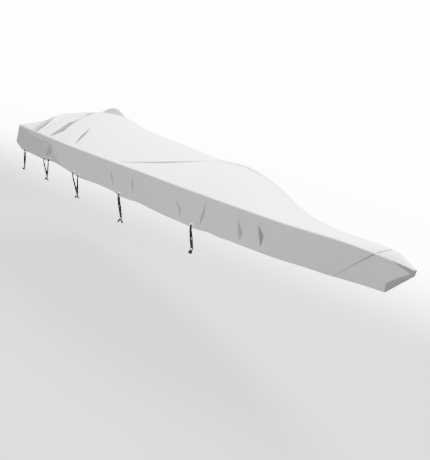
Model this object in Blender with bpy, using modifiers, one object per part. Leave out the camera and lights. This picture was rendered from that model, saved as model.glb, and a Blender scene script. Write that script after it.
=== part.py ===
"""A fitted cover for an open motor boat: cloth top, skirt all round, eyelets in the hem and a tie at each.

Stations run forward from the transom and heights go up from the gunwale at the transom. The part's own
origin is the mount under the top, where the boat's ridge carries the cloth.
"""

import math

import bpy
import numpy as np
from mathutils import Matrix

# Driving sizes, in metres.
LENGTH = 5.20
CLOTH = 0.002
SEAM_GAP = 0.0004
EDGE_DROP = 0.0016
CORNER_RADIUS = 0.07
NOSE_RADIUS = 0.03
MOUNT_STATION = 2.60
BOW_SEAM_STATION = 4.905
BOW_SEAM_BEND = 0.07
BOW_SEAM_LEAN = 0.10
BOW_START = 3.90
NOSE_START = 5.00
TRANSOM_HEM = 0.215
TRANSOM_SLACK = 0.006
TRANSOM_WAVES = 1.75
TRANSOM_CORNER_SHARE = 0.2

EYELET_OUTER = 0.0205
EYELET_HOLE = 0.0105
EYELET_BARREL = 0.012
EYELET_METAL = 0.0012
EYELET_GAP = 0.0005
EYELET_TO_HEM = 0.0225
EYELET_PATCH = 0.030
HOLE_CLEARANCE = 0.0004
CUTTER_DEPTH = 0.02

CORD = 0.016
STRAND_OUT = 0.0124
STRAND_GAP = 0.0004
STRAND_SPREAD = 0.003
BEND_REACH = 0.006
BEND_SHARE = 0.38
TAIL_STRAIGHT = 0.001
BEAD_WALL = 0.0030
BEAD_HEIGHT = 0.016
BEAD_CLEARANCE = 0.0004
BEAD_END_STEPS = 6

TOP_COLUMNS = 22
SKIRT_SHARES = (0.0, 0.18, 0.46, 0.75, 1.0)
TRANSOM_COLUMNS = 14
CORNER_STEPS = 4
TURN_STEPS = 16

# The gunwale, which is the line where top and skirt meet.
EDGE_COLUMNS = ("station", "half_breadth", "height")
EDGE = (
    (0.00, 0.870, 0.000),
    (1.04, 0.870, 0.010),
    (2.08, 0.825, 0.031),
    (2.86, 0.765, 0.052),
    (3.54, 0.632, 0.054),
    (4.16, 0.400, 0.046),
    (4.68, 0.207, 0.061),
    (4.99, 0.090, 0.048),
    (5.20, 0.024, 0.025),
)

# The ridge along the middle: its height over the gunwale, and how full the section is (1 is a tent).
RIDGE_COLUMNS = ("station", "rise", "fullness")
RIDGE = (
    (0.00, 0.098, 1.5),
    (0.15, 0.280, 1.5),
    (0.35, 0.384, 1.6),
    (0.60, 0.426, 1.5),
    (0.85, 0.443, 1.5),
    (1.10, 0.452, 1.5),
    (1.40, 0.398, 1.5),
    (1.80, 0.356, 1.5),
    (2.30, 0.329, 1.5),
    (2.90, 0.289, 1.6),
    (3.30, 0.311, 1.7),
    (3.60, 0.242, 1.8),
    (3.90, 0.102, 2.0),
    (4.20, 0.025, 2.2),
    (4.60, 0.034, 2.4),
    (5.00, 0.061, 2.4),
    (5.20, 0.000, 2.4),
)

# Depth of the side skirt below the gunwale, with the slack scallops of its hem.
HEM_COLUMNS = ("station", "depth")
HEM = (
    (0.00, 0.206),
    (0.10, 0.248),
    (0.28, 0.298),
    (0.60, 0.291),
    (0.92, 0.290),
    (1.15, 0.262),
    (1.45, 0.281),
    (1.75, 0.305),
    (2.10, 0.290),
    (2.32, 0.292),
    (2.48, 0.315),
    (2.60, 0.313),
    (2.75, 0.302),
    (3.06, 0.313),
    (3.24, 0.316),
    (3.50, 0.320),
    (3.60, 0.308),
    (3.72, 0.314),
    (3.80, 0.309),
    (4.24, 0.313),
    (4.69, 0.318),
    (4.91, 0.297),
    (5.20, 0.252),
)

# How far the skirt's front is set back at a share of its depth: evenly where the bow seam is, and at the
# nose upright first and raked below.
RAKE_COLUMNS = ("share", "at_seam", "at_nose")
RAKE = (
    (0.00, 0.000, 0.000),
    (0.15, 0.025, 0.000),
    (0.30, 0.049, 0.024),
    (0.60, 0.098, 0.085),
    (1.00, 0.164, 0.164),
)

# Distance between the top's rows of points, up to each station.
ROW_STEP_COLUMNS = ("up_to", "step")
ROW_STEPS = (
    (1.70, 0.070),
    (2.90, 0.120),
    (3.10, 0.070),
    (4.20, 0.100),
    (BOW_SEAM_STATION, 0.110),
)
BOW_ROWS = 7

# Folds of the top, as soft ridges (height over 0) and troughs (under 0); starboard is negative.
FOLD_COLUMNS = ("from_along", "from_across", "to_along", "to_across", "bulge", "width", "height")
TOP_FOLDS = (
    (0.47, -0.85, 0.26, -0.30, 0.000, 0.055, 0.030),
    (0.56, -0.84, 0.38, -0.34, 0.000, 0.050, -0.024),
    (0.90, -0.84, 0.68, -0.34, 0.020, 0.055, -0.026),
    (1.48, -0.84, 1.20, -0.48, 0.010, 0.045, -0.016),
    (0.70, -0.34, 0.55, -0.10, 0.000, 0.040, -0.014),
    (2.26, -0.78, 3.05, 0.00, -0.070, 0.045, -0.014),
    (0.60, 0.82, 0.34, 0.32, 0.000, 0.070, 0.020),
    (1.52, 0.82, 1.20, 0.40, 0.000, 0.060, -0.014),
    (2.40, 0.76, 3.06, 0.06, 0.060, 0.060, -0.010),
)

# Lumps of what lies under the cloth.
LUMP_COLUMNS = ("station", "side", "length", "width", "height")
LUMPS = (
    (0.45, 0.265, 0.33, 0.135, 0.178),
)

# Folds of the starboard side skirt, outward (over 0) or inward (under 0).
SKIRT_FOLDS = (
    (0.86, 0.06, 0.95, 0.20, 0.000, 0.045, 0.010),
    (1.02, 0.07, 1.08, 0.20, 0.000, 0.040, -0.012),
    (1.14, 0.08, 1.34, 0.24, 0.000, 0.060, 0.012),
    (2.22, 0.07, 2.34, 0.26, 0.000, 0.028, -0.009),
    (2.57, 0.05, 2.65, 0.27, 0.000, 0.026, -0.009),
    (3.14, 0.08, 3.29, 0.26, 0.000, 0.032, -0.011),
    (3.51, 0.03, 3.51, 0.28, 0.000, 0.032, -0.011),
    (3.82, 0.06, 3.89, 0.27, -0.016, 0.036, -0.014),
    (4.00, 0.07, 4.09, 0.27, -0.015, 0.038, -0.020),
)

# Eyelets of one side, and the ties that they hold.
EYELET_STATIONS = (0.370, 0.925, 1.045, 1.610, 1.715, 2.460, 3.430)
TIE_COLUMNS = ("first_eyelet", "last_eyelet", "drop", "lean", "tail_aft", "tail_aft_down",
               "tail_fore", "tail_fore_down")
TIES = (
    (0, 0, 0.215, 0.055, -0.032, 0.026, 0.004, 0.030),
    (1, 2, 0.205, 0.070, -0.034, 0.030, 0.050, 0.016),
    (3, 4, 0.215, 0.092, -0.028, 0.030, 0.050, 0.014),
    (5, 5, 0.225, 0.100, -0.026, 0.040, 0.050, 0.026),
    (6, 6, 0.210, 0.062, -0.016, 0.036, 0.008, 0.034),
)

# How a strand passes through an eyelet, from outside the cloth inwards: over the hem under one eyelet,
# or across to the next eyelet.
TURN_COLUMNS = ("forward", "out", "down")
TURN_THROUGH_ONE = (
    (0.0, 0.0096, 0.042),
    (0.0, STRAND_OUT, 0.026),
    (0.0, STRAND_OUT, 0.014),
    (0.0, 0.0108, 0.0056),
    (0.0, 0.0040, 0.0014),
    (0.0, -0.0040, 0.0014),
    (0.0, -0.0108, 0.0056),
    (0.0, -STRAND_OUT, 0.014),
    (0.0, -STRAND_OUT, 0.026),
    (0.0, -0.0096, 0.042),
)
TURN_INTO_PAIR = (
    (0.0, STRAND_OUT, 0.030),
    (0.0, STRAND_OUT, 0.014),
    (0.0, 0.0108, 0.0056),
    (0.0, 0.0040, 0.0014),
    (0.0008, -0.0040, 0.0004),
    (0.0085, -STRAND_OUT, -0.001),
)

# Colour (linear), roughness and metallic value of each material.
MATERIAL_COLUMNS = ("red", "green", "blue", "roughness", "metallic")
MATERIALS = {
    "top_cloth": (0.84, 0.84, 0.86, 0.80, 0.0),
    "skirt_cloth": (0.47, 0.48, 0.48, 0.82, 0.0),
    "eyelet_metal": (0.72, 0.72, 0.72, 0.35, 1.0),
    "tie_cord": (0.012, 0.012, 0.013, 0.85, 0.0),
    "bead_plastic": (0.78, 0.78, 0.77, 0.45, 0.0),
}


def through(table, column, at):
    """Smooth curve through one column of a table, with no overshoot between rows."""
    knots = np.array([row[0] for row in table])
    values = np.array([row[column] for row in table])
    spans = np.diff(knots)
    slopes = np.diff(values) / spans
    heavy = 2 * spans[1:] + spans[:-1]
    light = spans[1:] + 2 * spans[:-1]
    same_way = slopes[1:] * slopes[:-1] > 0
    safe = np.where(same_way, slopes[1:] * slopes[:-1], 1.0)
    blend = (heavy + light) * safe / (heavy * slopes[1:] + light * slopes[:-1] + 1e-12 * ~same_way)
    tangents = np.concatenate(([slopes[0]], np.where(same_way, blend, 0.0), [slopes[-1]]))
    at = np.clip(at, knots[0], knots[-1])
    span = np.clip(np.searchsorted(knots, at, side="right") - 1, 0, len(spans) - 1)
    width = spans[span]
    part = (at - knots[span]) / width
    rise = values[span + 1] - values[span]
    start = tangents[span] * width
    end = tangents[span + 1] * width
    square = 3 * rise - 2 * start - end
    cube = start + end - 2 * rise
    return values[span] + part * start + part**2 * square + part**3 * cube


def smooth_step(value):
    """Rise from 0 to 1 with level ends."""
    value = np.clip(value, 0.0, 1.0)
    return value * value * (3.0 - 2.0 * value)


def half_breadth(station):
    """Half of the cover's width at the gunwale, with rounded stern corners and a rounded nose."""
    breadth = through(EDGE, 1, station)
    from_corner = np.clip(CORNER_RADIUS - station, 0.0, CORNER_RADIUS)
    breadth = breadth - CORNER_RADIUS + np.sqrt(CORNER_RADIUS**2 - from_corner**2)
    from_nose = 1.0 - np.clip((LENGTH - station) / NOSE_RADIUS, 0.0, 1.0)
    return breadth * np.sqrt(1.0 - from_nose**2)


def edge_height(station):
    """Height of the gunwale."""
    return through(EDGE, 2, station)


def fold_relief(folds, along, across):
    """Sum of soft folds: each is a bell across its line and swells from nothing at both of its ends."""
    relief = np.zeros(np.broadcast(along, across).shape)
    for from_along, from_across, to_along, to_across, bulge, width, height in folds:
        run = np.array((to_along - from_along, to_across - from_across))
        length = np.hypot(*run)
        heading = run / length
        ahead = ((along - from_along) * heading[0] + (across - from_across) * heading[1]) / length
        ahead = np.clip(ahead, 0.0, 1.0)
        aside = (across - from_across) * heading[0] - (along - from_along) * heading[1]
        aside = aside - 4.0 * bulge * ahead * (1.0 - ahead)
        swell = np.sin(math.pi * ahead)
        relief += height * np.sqrt(swell) * np.exp(-((aside / width) ** 2))
    return relief


def top_height(station, side):
    """Height of the top over a point of the plan: the section's curve, then lumps, then folds."""
    share = np.clip(np.abs(side) / np.maximum(half_breadth(station), 1e-4), 0.0, 1.0)
    section = through(RIDGE, 1, station) * (1.0 - share ** through(RIDGE, 2, station))
    held = 1.0 - share**6
    for lump_station, lump_side, length, width, height in LUMPS:
        reach = ((station - lump_station) / length) ** 2 + ((side - lump_side) / width) ** 2
        section = section + height * held * np.exp(-reach)
    return edge_height(station) + section + held * fold_relief(TOP_FOLDS, station, side)


MOUNT_HEIGHT = float(top_height(np.array(MOUNT_STATION), np.array(0.0))) - CLOTH / 2


def to_part(station, side, height):
    """Stations, sides and heights as points in the part's own frame."""
    station, side, height = np.broadcast_arrays(station, side, height)
    return np.stack((station - MOUNT_STATION, side, height - MOUNT_HEIGHT), axis=-1)


def hem_depth(station):
    """Depth of the side skirt at a station of the gunwale."""
    return through(HEM, 1, station)


def plan_normal(station):
    """Outward direction of the starboard gunwale in plan, as its forward and sideways parts."""
    nudge = 1e-6
    before = np.clip(station - nudge, 0.0, LENGTH)
    after = np.clip(station + nudge, 0.0, LENGTH)
    slope = (half_breadth(after) - half_breadth(before)) / (after - before)
    size = np.hypot(slope, 1.0)
    return -slope / size, -1.0 / size


def skirt_point(station, depth, side=-1):
    """Point of the side skirt that hangs from a station of the gunwale, at a depth below it."""
    share = depth / hem_depth(station)
    near_eyelet = np.ones(np.broadcast(station, depth).shape)
    for eyelet in EYELET_STATIONS:
        away = np.hypot(station - eyelet, depth - hem_depth(eyelet) + EYELET_TO_HEM)
        near_eyelet = near_eyelet * smooth_step((away - EYELET_PATCH * 2) / EYELET_PATCH)
    relief = fold_relief(SKIRT_FOLDS, station, depth) * near_eyelet
    forward, sideways = plan_normal(station)
    reach = smooth_step((station - BOW_START) / (BOW_SEAM_STATION - BOW_START))
    near_nose = smooth_step((station - NOSE_START) / (LENGTH - NOSE_START))
    at_seam = through(RAKE, 1, share)
    rake = reach * (at_seam + near_nose * (through(RAKE, 2, share) - at_seam))
    across = half_breadth(station) - relief * sideways
    return to_part(station + relief * forward - rake, side * across, edge_height(station) - depth)


def row_stations():
    """Stations of the rows of points, from the transom to the bow seam."""
    turns = np.linspace(0.0, math.pi / 2, CORNER_STEPS + 1)
    stations = list(CORNER_RADIUS * (1.0 - np.cos(turns)))
    for up_to, step in ROW_STEPS:
        count = max(1, round((up_to - stations[-1]) / step))
        stations.extend(np.linspace(stations[-1], up_to, count + 1)[1:])
    patches = [eyelet + EYELET_PATCH * way for eyelet in EYELET_STATIONS for way in (-1, 1)]
    clear = [s for s in stations if min(abs(s - patch) for patch in patches) > 0.8 * EYELET_PATCH
             and min(abs(s - eyelet) for eyelet in EYELET_STATIONS) > EYELET_PATCH]
    return np.array(sorted(clear + patches))


def bow_stations():
    """Stations of the rows of points, from the bow seam to the nose, closer together where it rounds."""
    turns = np.linspace(0.0, math.pi / 2, BOW_ROWS + 1)
    return BOW_SEAM_STATION + (LENGTH - BOW_SEAM_STATION) * np.sin(turns)


def seam_share(station):
    """How far a row follows the bow seam: fully at the seam, and less and less on both sides of it."""
    behind = smooth_step((station - BOW_START) / (BOW_SEAM_STATION - BOW_START))
    ahead = np.clip((LENGTH - station) / (LENGTH - BOW_SEAM_STATION), 0.0, 1.0)
    return behind * ahead


def top_rows(stations):
    """Rows of points across the top; towards the bow they bend forward as the seam there does."""
    shares = np.linspace(-1.0, 1.0, TOP_COLUMNS + 1)[None, :]
    ends = stations[:, None]
    station = ends + BOW_SEAM_BEND * seam_share(ends) * (1.0 - shares**2)
    side = shares * half_breadth(station)
    return to_part(station, side, top_height(station, side))


def skirt_rows(stations, side):
    """Rows of points down the side skirt; towards the bow they lean aft as the seam there does."""
    share = np.array(SKIRT_SHARES)[None, :]
    station = stations[:, None] - BOW_SEAM_LEAN * seam_share(stations[:, None]) * share
    depth = EDGE_DROP + share * (hem_depth(station) - EDGE_DROP)
    return skirt_point(station, depth, side)


def make_material(name):
    """Plain material of a given name from the table."""
    red, green, blue, roughness, metallic = MATERIALS[name]
    material = bpy.data.materials.new(name)
    material.use_nodes = True
    shader = material.node_tree.nodes["Principled BSDF"]
    shader.inputs["Base Color"].default_value = (red, green, blue, 1.0)
    shader.inputs["Roughness"].default_value = roughness
    shader.inputs["Metallic"].default_value = metallic
    return material


def new_collection(name):
    """Empty collection in the scene."""
    collection = bpy.data.collections.new(name)
    bpy.context.scene.collection.children.link(collection)
    return collection


def new_object(name, data, collection, material=None):
    """Object of a given name, with its material."""
    body = bpy.data.objects.new(name, data)
    collection.objects.link(body)
    if material:
        data.materials.append(material)
    return body


def loft_sheet(name, rows, collection, material):
    """Cloth sheet: a surface through rows of points, thickened to the cloth; a row may be one point."""
    count, width = rows.shape[:2]
    points = rows.reshape(-1, 3)
    index = np.arange(count * width).reshape(count, width)
    corners = (index[:-1, :-1], index[1:, :-1], index[1:, 1:], index[:-1, 1:])
    faces = np.stack(corners, axis=-1).reshape(-1, 4)
    if np.ptp(rows[-1], axis=0).max() < SEAM_GAP:
        nose = index[-1, 0]
        fan = [(a, nose, d) for a, _, _, d in faces[-(width - 1):]]
        faces = [tuple(face) for face in faces[:-(width - 1)]] + fan
        points = points[:nose + 1]
    mesh = bpy.data.meshes.new(name)
    mesh.from_pydata([tuple(point) for point in points], [], [tuple(int(i) for i in face) for face in faces])
    sheet = new_object(name, mesh, collection, material)
    thickness = sheet.modifiers.new("cloth", "SOLIDIFY")
    thickness.thickness = CLOTH
    thickness.offset = 0.0
    thickness.use_even_offset = True
    return sheet


def eyelet_frame(station, side):
    """Turn and place of an eyelet: its first axis runs forward along the hem and its third faces out."""
    depth = hem_depth(station) - EYELET_TO_HEM
    nudge = 0.004
    centre = skirt_point(np.array(station), np.array(depth), side)
    forward = skirt_point(np.array(station + nudge), np.array(depth), side) - centre
    down = skirt_point(np.array(station), np.array(depth + nudge), side) - centre
    forward = forward / np.linalg.norm(forward)
    out = np.cross(down, forward) * -side
    out = out / np.linalg.norm(out)
    down = np.cross(forward, out)
    down = down if down[2] < 0 else -down
    return centre, forward, down, out


def turn_to(centre, forward, out):
    """Matrix that stands a turned piece on an eyelet, its axis along the outward direction."""
    third = np.cross(out, forward)
    turn = Matrix(np.column_stack((forward, third, out)).tolist()).to_4x4()
    return Matrix.Translation(centre.tolist()) @ turn


def make_eyelet(name, frame, collection, material):
    """Metal eyelet: two flanges, one on each face of the cloth, joined by a barrel through its hole."""
    inner = CLOTH / 2 + EYELET_GAP
    outer = inner + EYELET_METAL
    profile = (
        (EYELET_HOLE, outer), (EYELET_OUTER, outer), (EYELET_OUTER, inner), (EYELET_BARREL, inner),
        (EYELET_BARREL, -inner), (EYELET_OUTER, -inner), (EYELET_OUTER, -outer), (EYELET_HOLE, -outer),
    )
    mesh = bpy.data.meshes.new(name)
    count = len(profile)
    mesh.from_pydata([(radius, 0.0, height) for radius, height in profile],
                     [(i, (i + 1) % count) for i in range(count)], [])
    eyelet = new_object(name, mesh, collection, material)
    spin = eyelet.modifiers.new("turned", "SCREW")
    spin.axis = "Z"
    spin.steps = TURN_STEPS
    spin.render_steps = TURN_STEPS
    spin.use_merge_vertices = True
    spin.merge_threshold = 0.0001
    centre, forward, _, out = frame
    eyelet.matrix_world = turn_to(centre, forward, out)
    return eyelet


def make_hole_cutter(name, frame, collection):
    """Cylinder that punches the cloth for an eyelet's barrel."""
    bpy.ops.mesh.primitive_cylinder_add(vertices=TURN_STEPS, radius=EYELET_BARREL + HOLE_CLEARANCE,
                                        depth=CUTTER_DEPTH)
    cutter = bpy.context.object
    cutter.name = name
    for home in cutter.users_collection:
        home.objects.unlink(cutter)
    collection.objects.link(cutter)
    centre, forward, _, out = frame
    cutter.matrix_world = turn_to(centre, forward, out)
    cutter.hide_render = True
    cutter.display_type = "WIRE"
    return cutter


def punch(sheet, cutters):
    """Cut the holes out of a sheet."""
    sheet_cut = sheet.modifiers.new("holes", "BOOLEAN")
    sheet_cut.operation = "DIFFERENCE"
    sheet_cut.operand_type = "COLLECTION"
    sheet_cut.collection = cutters
    sheet_cut.solver = "EXACT"


def rounded(points):
    """A path through a short list of points, its corners rounded off and its legs left straight."""
    path = [points[0]]
    for before, corner, after in zip(points[:-2], points[1:-1], points[2:]):
        to_before = before - corner
        to_after = after - corner
        start = corner + to_before * min(BEND_REACH / np.linalg.norm(to_before), BEND_SHARE)
        end = corner + to_after * min(BEND_REACH / np.linalg.norm(to_after), BEND_SHARE)
        path.extend((start, (start + 2 * corner + end) / 4, end))
    path.append(points[-1])
    return np.array(path)


def local_points(frame, points):
    """Points given as forward, out and down from an eyelet, in the part's frame."""
    centre, forward, down, out = frame
    points = np.array(points)
    return centre + points[:, :1] * forward + points[:, 1:2] * out + points[:, 2:] * down


def bead_place(frames, tie):
    """Middle of a tie's bead, with the directions forward, out and down there."""
    first, last, drop, lean = tie[:4]
    centre = (frames[first][0] + frames[last][0]) / 2
    forward = frames[first][1] + frames[last][1]
    forward = np.array((forward[0], forward[1], 0.0)) / np.hypot(forward[0], forward[1])
    out = frames[first][3] + frames[last][3]
    out = np.array((out[0], out[1], 0.0))
    out = out - forward * out.dot(forward)
    out = out / np.linalg.norm(out)
    down = np.array((0.0, 0.0, -1.0))
    return centre + lean * forward + drop * down, forward, down, out


def tie_route(frames, tie):
    """Corners of a tie: up through its bead, through the eyelets, and down through the bead again."""
    first, last = tie[:2]
    tail_aft, tail_aft_down, tail_fore, tail_fore_down = tie[4:]
    beside = (CORD + STRAND_GAP) / 2
    half = BEAD_HEIGHT / 2 + BEND_REACH + TAIL_STRAIGHT
    bead = bead_place(frames, tie)
    aft_end = local_points(bead, ((tail_aft, 0.0, half + tail_aft_down), (-beside, 0.0, half),
                                  (-beside, 0.0, -half)))
    fore_end = local_points(bead, ((beside, 0.0, -half), (beside, 0.0, half),
                                   (tail_fore, 0.0, half + tail_fore_down)))
    if first == last:
        over = local_points(frames[first], TURN_THROUGH_ONE)
        aft_middle = (aft_end[-1] + over[0]) / 2 - STRAND_SPREAD * bead[1] + STRAND_SPREAD / 2 * bead[3]
        fore_middle = (fore_end[0] + over[-1]) / 2 + STRAND_SPREAD * bead[1] - STRAND_SPREAD / 2 * bead[3]
        over = np.vstack((aft_middle, over, fore_middle))
    else:
        mirrored = [(-along, out, down) for along, out, down in reversed(TURN_INTO_PAIR)]
        aft_half = local_points(frames[first], TURN_INTO_PAIR)
        fore_half = local_points(frames[last], mirrored)
        over = np.vstack((aft_half, fore_half))
    return np.vstack((aft_end, over, fore_end))


def make_cord(name, points, collection, material):
    """Round cord along a middle line."""
    curve = bpy.data.curves.new(name, "CURVE")
    curve.dimensions = "3D"
    curve.bevel_depth = CORD / 2
    curve.bevel_resolution = 1
    curve.use_fill_caps = True
    spline = curve.splines.new("POLY")
    spline.points.add(len(points) - 1)
    for spot, point in zip(spline.points, points):
        spot.co = (*point, 1.0)
    return new_object(name, curve, collection, material)


def stadium(spline, half_width, radius):
    """Closed outline of a slot: two half circles joined by straight sides."""
    turns = np.linspace(-math.pi / 2, math.pi / 2, BEAD_END_STEPS + 1)
    right = [(half_width + radius * math.cos(turn), radius * math.sin(turn)) for turn in turns]
    outline = right + [(-x, -y) for x, y in right]
    spline.points.add(len(outline) - 1)
    for spot, (x, y) in zip(spline.points, outline):
        spot.co = (x, y, 0.0, 1.0)
    spline.use_cyclic_u = True


def make_bead(name, place, collection, material):
    """Flat bead with a slot that both strands of a tie pass through."""
    middle, forward, down, out = place
    curve = bpy.data.curves.new(name, "CURVE")
    curve.dimensions = "2D"
    curve.fill_mode = "BOTH"
    curve.extrude = BEAD_HEIGHT / 2
    beside = (CORD + STRAND_GAP) / 2
    slot = CORD / 2 + BEAD_CLEARANCE
    stadium(curve.splines.new("POLY"), beside, slot + BEAD_WALL)
    stadium(curve.splines.new("POLY"), beside, slot)
    bead = new_object(name, curve, collection, material)
    turn = Matrix(np.column_stack((forward, out, np.cross(forward, out))).tolist()).to_4x4()
    bead.matrix_world = Matrix.Translation(middle.tolist()) @ turn
    return bead


def make_transom_skirt(collection, material):
    """Skirt across the transom, its upper edge on the arch of the top's last row."""
    share = np.linspace(-1.0, 1.0, TRANSOM_COLUMNS + 1)[:, None]
    reach = half_breadth(np.array(0.0)) - 2 * SEAM_GAP
    side = share * reach
    arch = through(RIDGE, 1, 0.0) * (1.0 - np.abs(share) ** through(RIDGE, 2, 0.0))
    upper = edge_height(0.0) + arch - EDGE_DROP
    from_end = smooth_step((1.0 - np.abs(share)) / TRANSOM_CORNER_SHARE)
    lower = -hem_depth(0.0) - (TRANSOM_HEM - hem_depth(0.0)) * from_end
    fall = np.array(SKIRT_SHARES)[None, :]
    wave = np.cos(2 * math.pi * TRANSOM_WAVES * share) * (1.0 - share**4)
    slack = TRANSOM_SLACK * np.sin(math.pi * fall) * wave
    rows = to_part(-slack, side, upper + (lower - upper) * fall)
    loft_sheet("skirt_transom", rows, collection, material)


def make_side(side_name, side, stations, parts, cutting, cloths):
    """Side skirt with its eyelets, ties and beads."""
    top_cloth, skirt_cloth, metal, cord, plastic = cloths
    ends = stations.copy()
    ends[-1] -= SEAM_GAP
    skirt = loft_sheet(f"skirt_{side_name}", skirt_rows(ends, side), parts, skirt_cloth)
    holes = bpy.data.collections.new(f"holes_{side_name}")
    cutting.children.link(holes)
    frames = [eyelet_frame(station, side) for station in EYELET_STATIONS]
    for number, frame in enumerate(frames, start=1):
        make_hole_cutter(f"hole_{side_name}_{number}", frame, holes)
        make_eyelet(f"eyelet_{side_name}_{number}", frame, parts, metal)
    punch(skirt, holes)
    for number, tie in enumerate(TIES, start=1):
        route = rounded(tie_route(frames, tie))
        make_cord(f"tie_{side_name}_{number}", route, parts, cord)
        make_bead(f"bead_{side_name}_{number}", bead_place(frames, tie), parts, plastic)


def main():
    """Build the cover."""
    for old in list(bpy.data.objects):
        bpy.data.objects.remove(old, do_unlink=True)
    parts = new_collection("boat_cover")
    cutting = new_collection("cutters")
    cloths = [make_material(name) for name in MATERIALS]
    top_cloth, skirt_cloth = cloths[:2]

    stations = row_stations()
    nose = bow_stations()
    main_rows = top_rows(stations)
    main_rows[-1, :, 0] -= SEAM_GAP
    loft_sheet("top_main", main_rows, parts, top_cloth)
    loft_sheet("top_bow", top_rows(nose), parts, top_cloth)
    starboard = skirt_rows(nose, -1)
    port = skirt_rows(nose[:-1], 1)[::-1]
    loft_sheet("skirt_bow", np.concatenate((starboard, port)), parts, skirt_cloth)
    make_transom_skirt(parts, skirt_cloth)
    make_side("starboard", -1, stations, parts, cutting, cloths)
    make_side("port", 1, stations, parts, cutting, cloths)


main()
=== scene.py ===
"""Looks of a fitted boat cover, laid over its CAD frame: draped cloth top, hanging skirt, eyelets and ties.

Stations run forward from the transom, sides are negative to starboard, and depths go down from the gunwale,
which is the line where top and skirt meet. The origin is the mount under the ridge of the top.
"""

import math
from collections import namedtuple

import bpy
import numpy as np
from mathutils import Matrix, Vector


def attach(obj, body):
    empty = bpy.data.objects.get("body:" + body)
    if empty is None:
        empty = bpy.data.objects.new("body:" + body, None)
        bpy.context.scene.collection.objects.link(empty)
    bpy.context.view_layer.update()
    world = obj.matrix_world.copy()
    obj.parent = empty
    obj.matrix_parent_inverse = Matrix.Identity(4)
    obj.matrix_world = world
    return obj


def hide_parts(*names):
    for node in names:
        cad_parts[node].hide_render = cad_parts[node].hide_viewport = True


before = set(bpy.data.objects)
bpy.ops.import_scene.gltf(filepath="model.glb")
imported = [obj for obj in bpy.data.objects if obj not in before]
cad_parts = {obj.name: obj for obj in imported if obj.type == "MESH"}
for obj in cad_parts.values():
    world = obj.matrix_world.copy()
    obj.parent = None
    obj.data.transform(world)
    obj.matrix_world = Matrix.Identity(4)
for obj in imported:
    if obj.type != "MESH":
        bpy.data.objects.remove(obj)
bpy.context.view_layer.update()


def table(columns, *rows):
    """Table whose columns are read by name."""
    row = namedtuple("Row", columns)
    return [row(*values) for values in rows]


# ---- sizes, in metres
LENGTH = 5.20
CORNER_RADIUS = 0.07
NOSE_RADIUS = 0.03
MOUNT_STATION = 2.60
BOW_SEAM_STATION = 4.905
BOW_SEAM_BEND = 0.07
BOW_SEAM_LEAN = 0.10
BOW_START = 3.90
NOSE_START = 5.00
TRANSOM_HEM = 0.215
TRANSOM_SLACK = 0.006
TRANSOM_WAVES = 1.75
TRANSOM_CORNER_SHARE = 0.2

CAD_CLOTH = 0.002
CLOTH = 0.0018
HEM_CLOTH = 0.0027
HEM_WIDTH = 0.028
EDGE_DROP = 0.0016
SEAM_GAP = 0.0004
NOSE_CUT = 0.0004

EYELET_TO_HEM = 0.0225
EYELET_PATCH = 0.030

CORD = 0.016
STRAND_OUT = 0.0124
STRAND_GAP = 0.0004
STRAND_SPREAD = 0.003
BEND_REACH = 0.006
BEND_SHARE = 0.38
TAIL_STRAIGHT = 0.001
BEAD_WALL = 0.0030
BEAD_HEIGHT = 0.016
BEAD_CLEARANCE = 0.0004

# ---- tables that the CAD part also works from
EDGE = table(
    "station half_breadth height",
    (0, 0.87, 0), (1.04, 0.87, 0.01), (2.08, 0.825, 0.031), (2.86, 0.765, 0.052), (3.54, 0.632, 0.054),
    (4.16, 0.4, 0.046), (4.68, 0.207, 0.061), (4.99, 0.09, 0.048), (5.2, 0.024, 0.025))
RIDGE = table(
    "station rise fullness",
    (0, 0.098, 1.5), (0.15, 0.28, 1.5), (0.35, 0.384, 1.6), (0.6, 0.426, 1.5), (0.85, 0.443, 1.5),
    (1.1, 0.452, 1.5), (1.4, 0.398, 1.5), (1.8, 0.356, 1.5), (2.3, 0.329, 1.5), (2.9, 0.289, 1.6),
    (3.3, 0.311, 1.7), (3.6, 0.242, 1.8), (3.9, 0.102, 2.0), (4.2, 0.025, 2.2), (4.6, 0.034, 2.4),
    (5.0, 0.061, 2.4), (5.2, 0, 2.4))
HEM = table(
    "station depth",
    (0, 0.206), (0.1, 0.248), (0.28, 0.298), (0.6, 0.291), (0.92, 0.29), (1.15, 0.262), (1.45, 0.281),
    (1.75, 0.305), (2.1, 0.29), (2.32, 0.292), (2.48, 0.315), (2.6, 0.313), (2.75, 0.302), (3.06, 0.313),
    (3.24, 0.316), (3.5, 0.32), (3.6, 0.308), (3.72, 0.314), (3.8, 0.309), (4.24, 0.313), (4.69, 0.318),
    (4.91, 0.297), (5.2, 0.252))
# How far the skirt's front is set back at a share of its depth: evenly where the bow seam is, and at the
# nose upright first and raked below.
RAKE = table(
    "share at_seam at_nose",
    (0, 0, 0), (0.15, 0.025, 0), (0.3, 0.049, 0.024), (0.6, 0.098, 0.085), (1.0, 0.164, 0.164))
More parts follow.
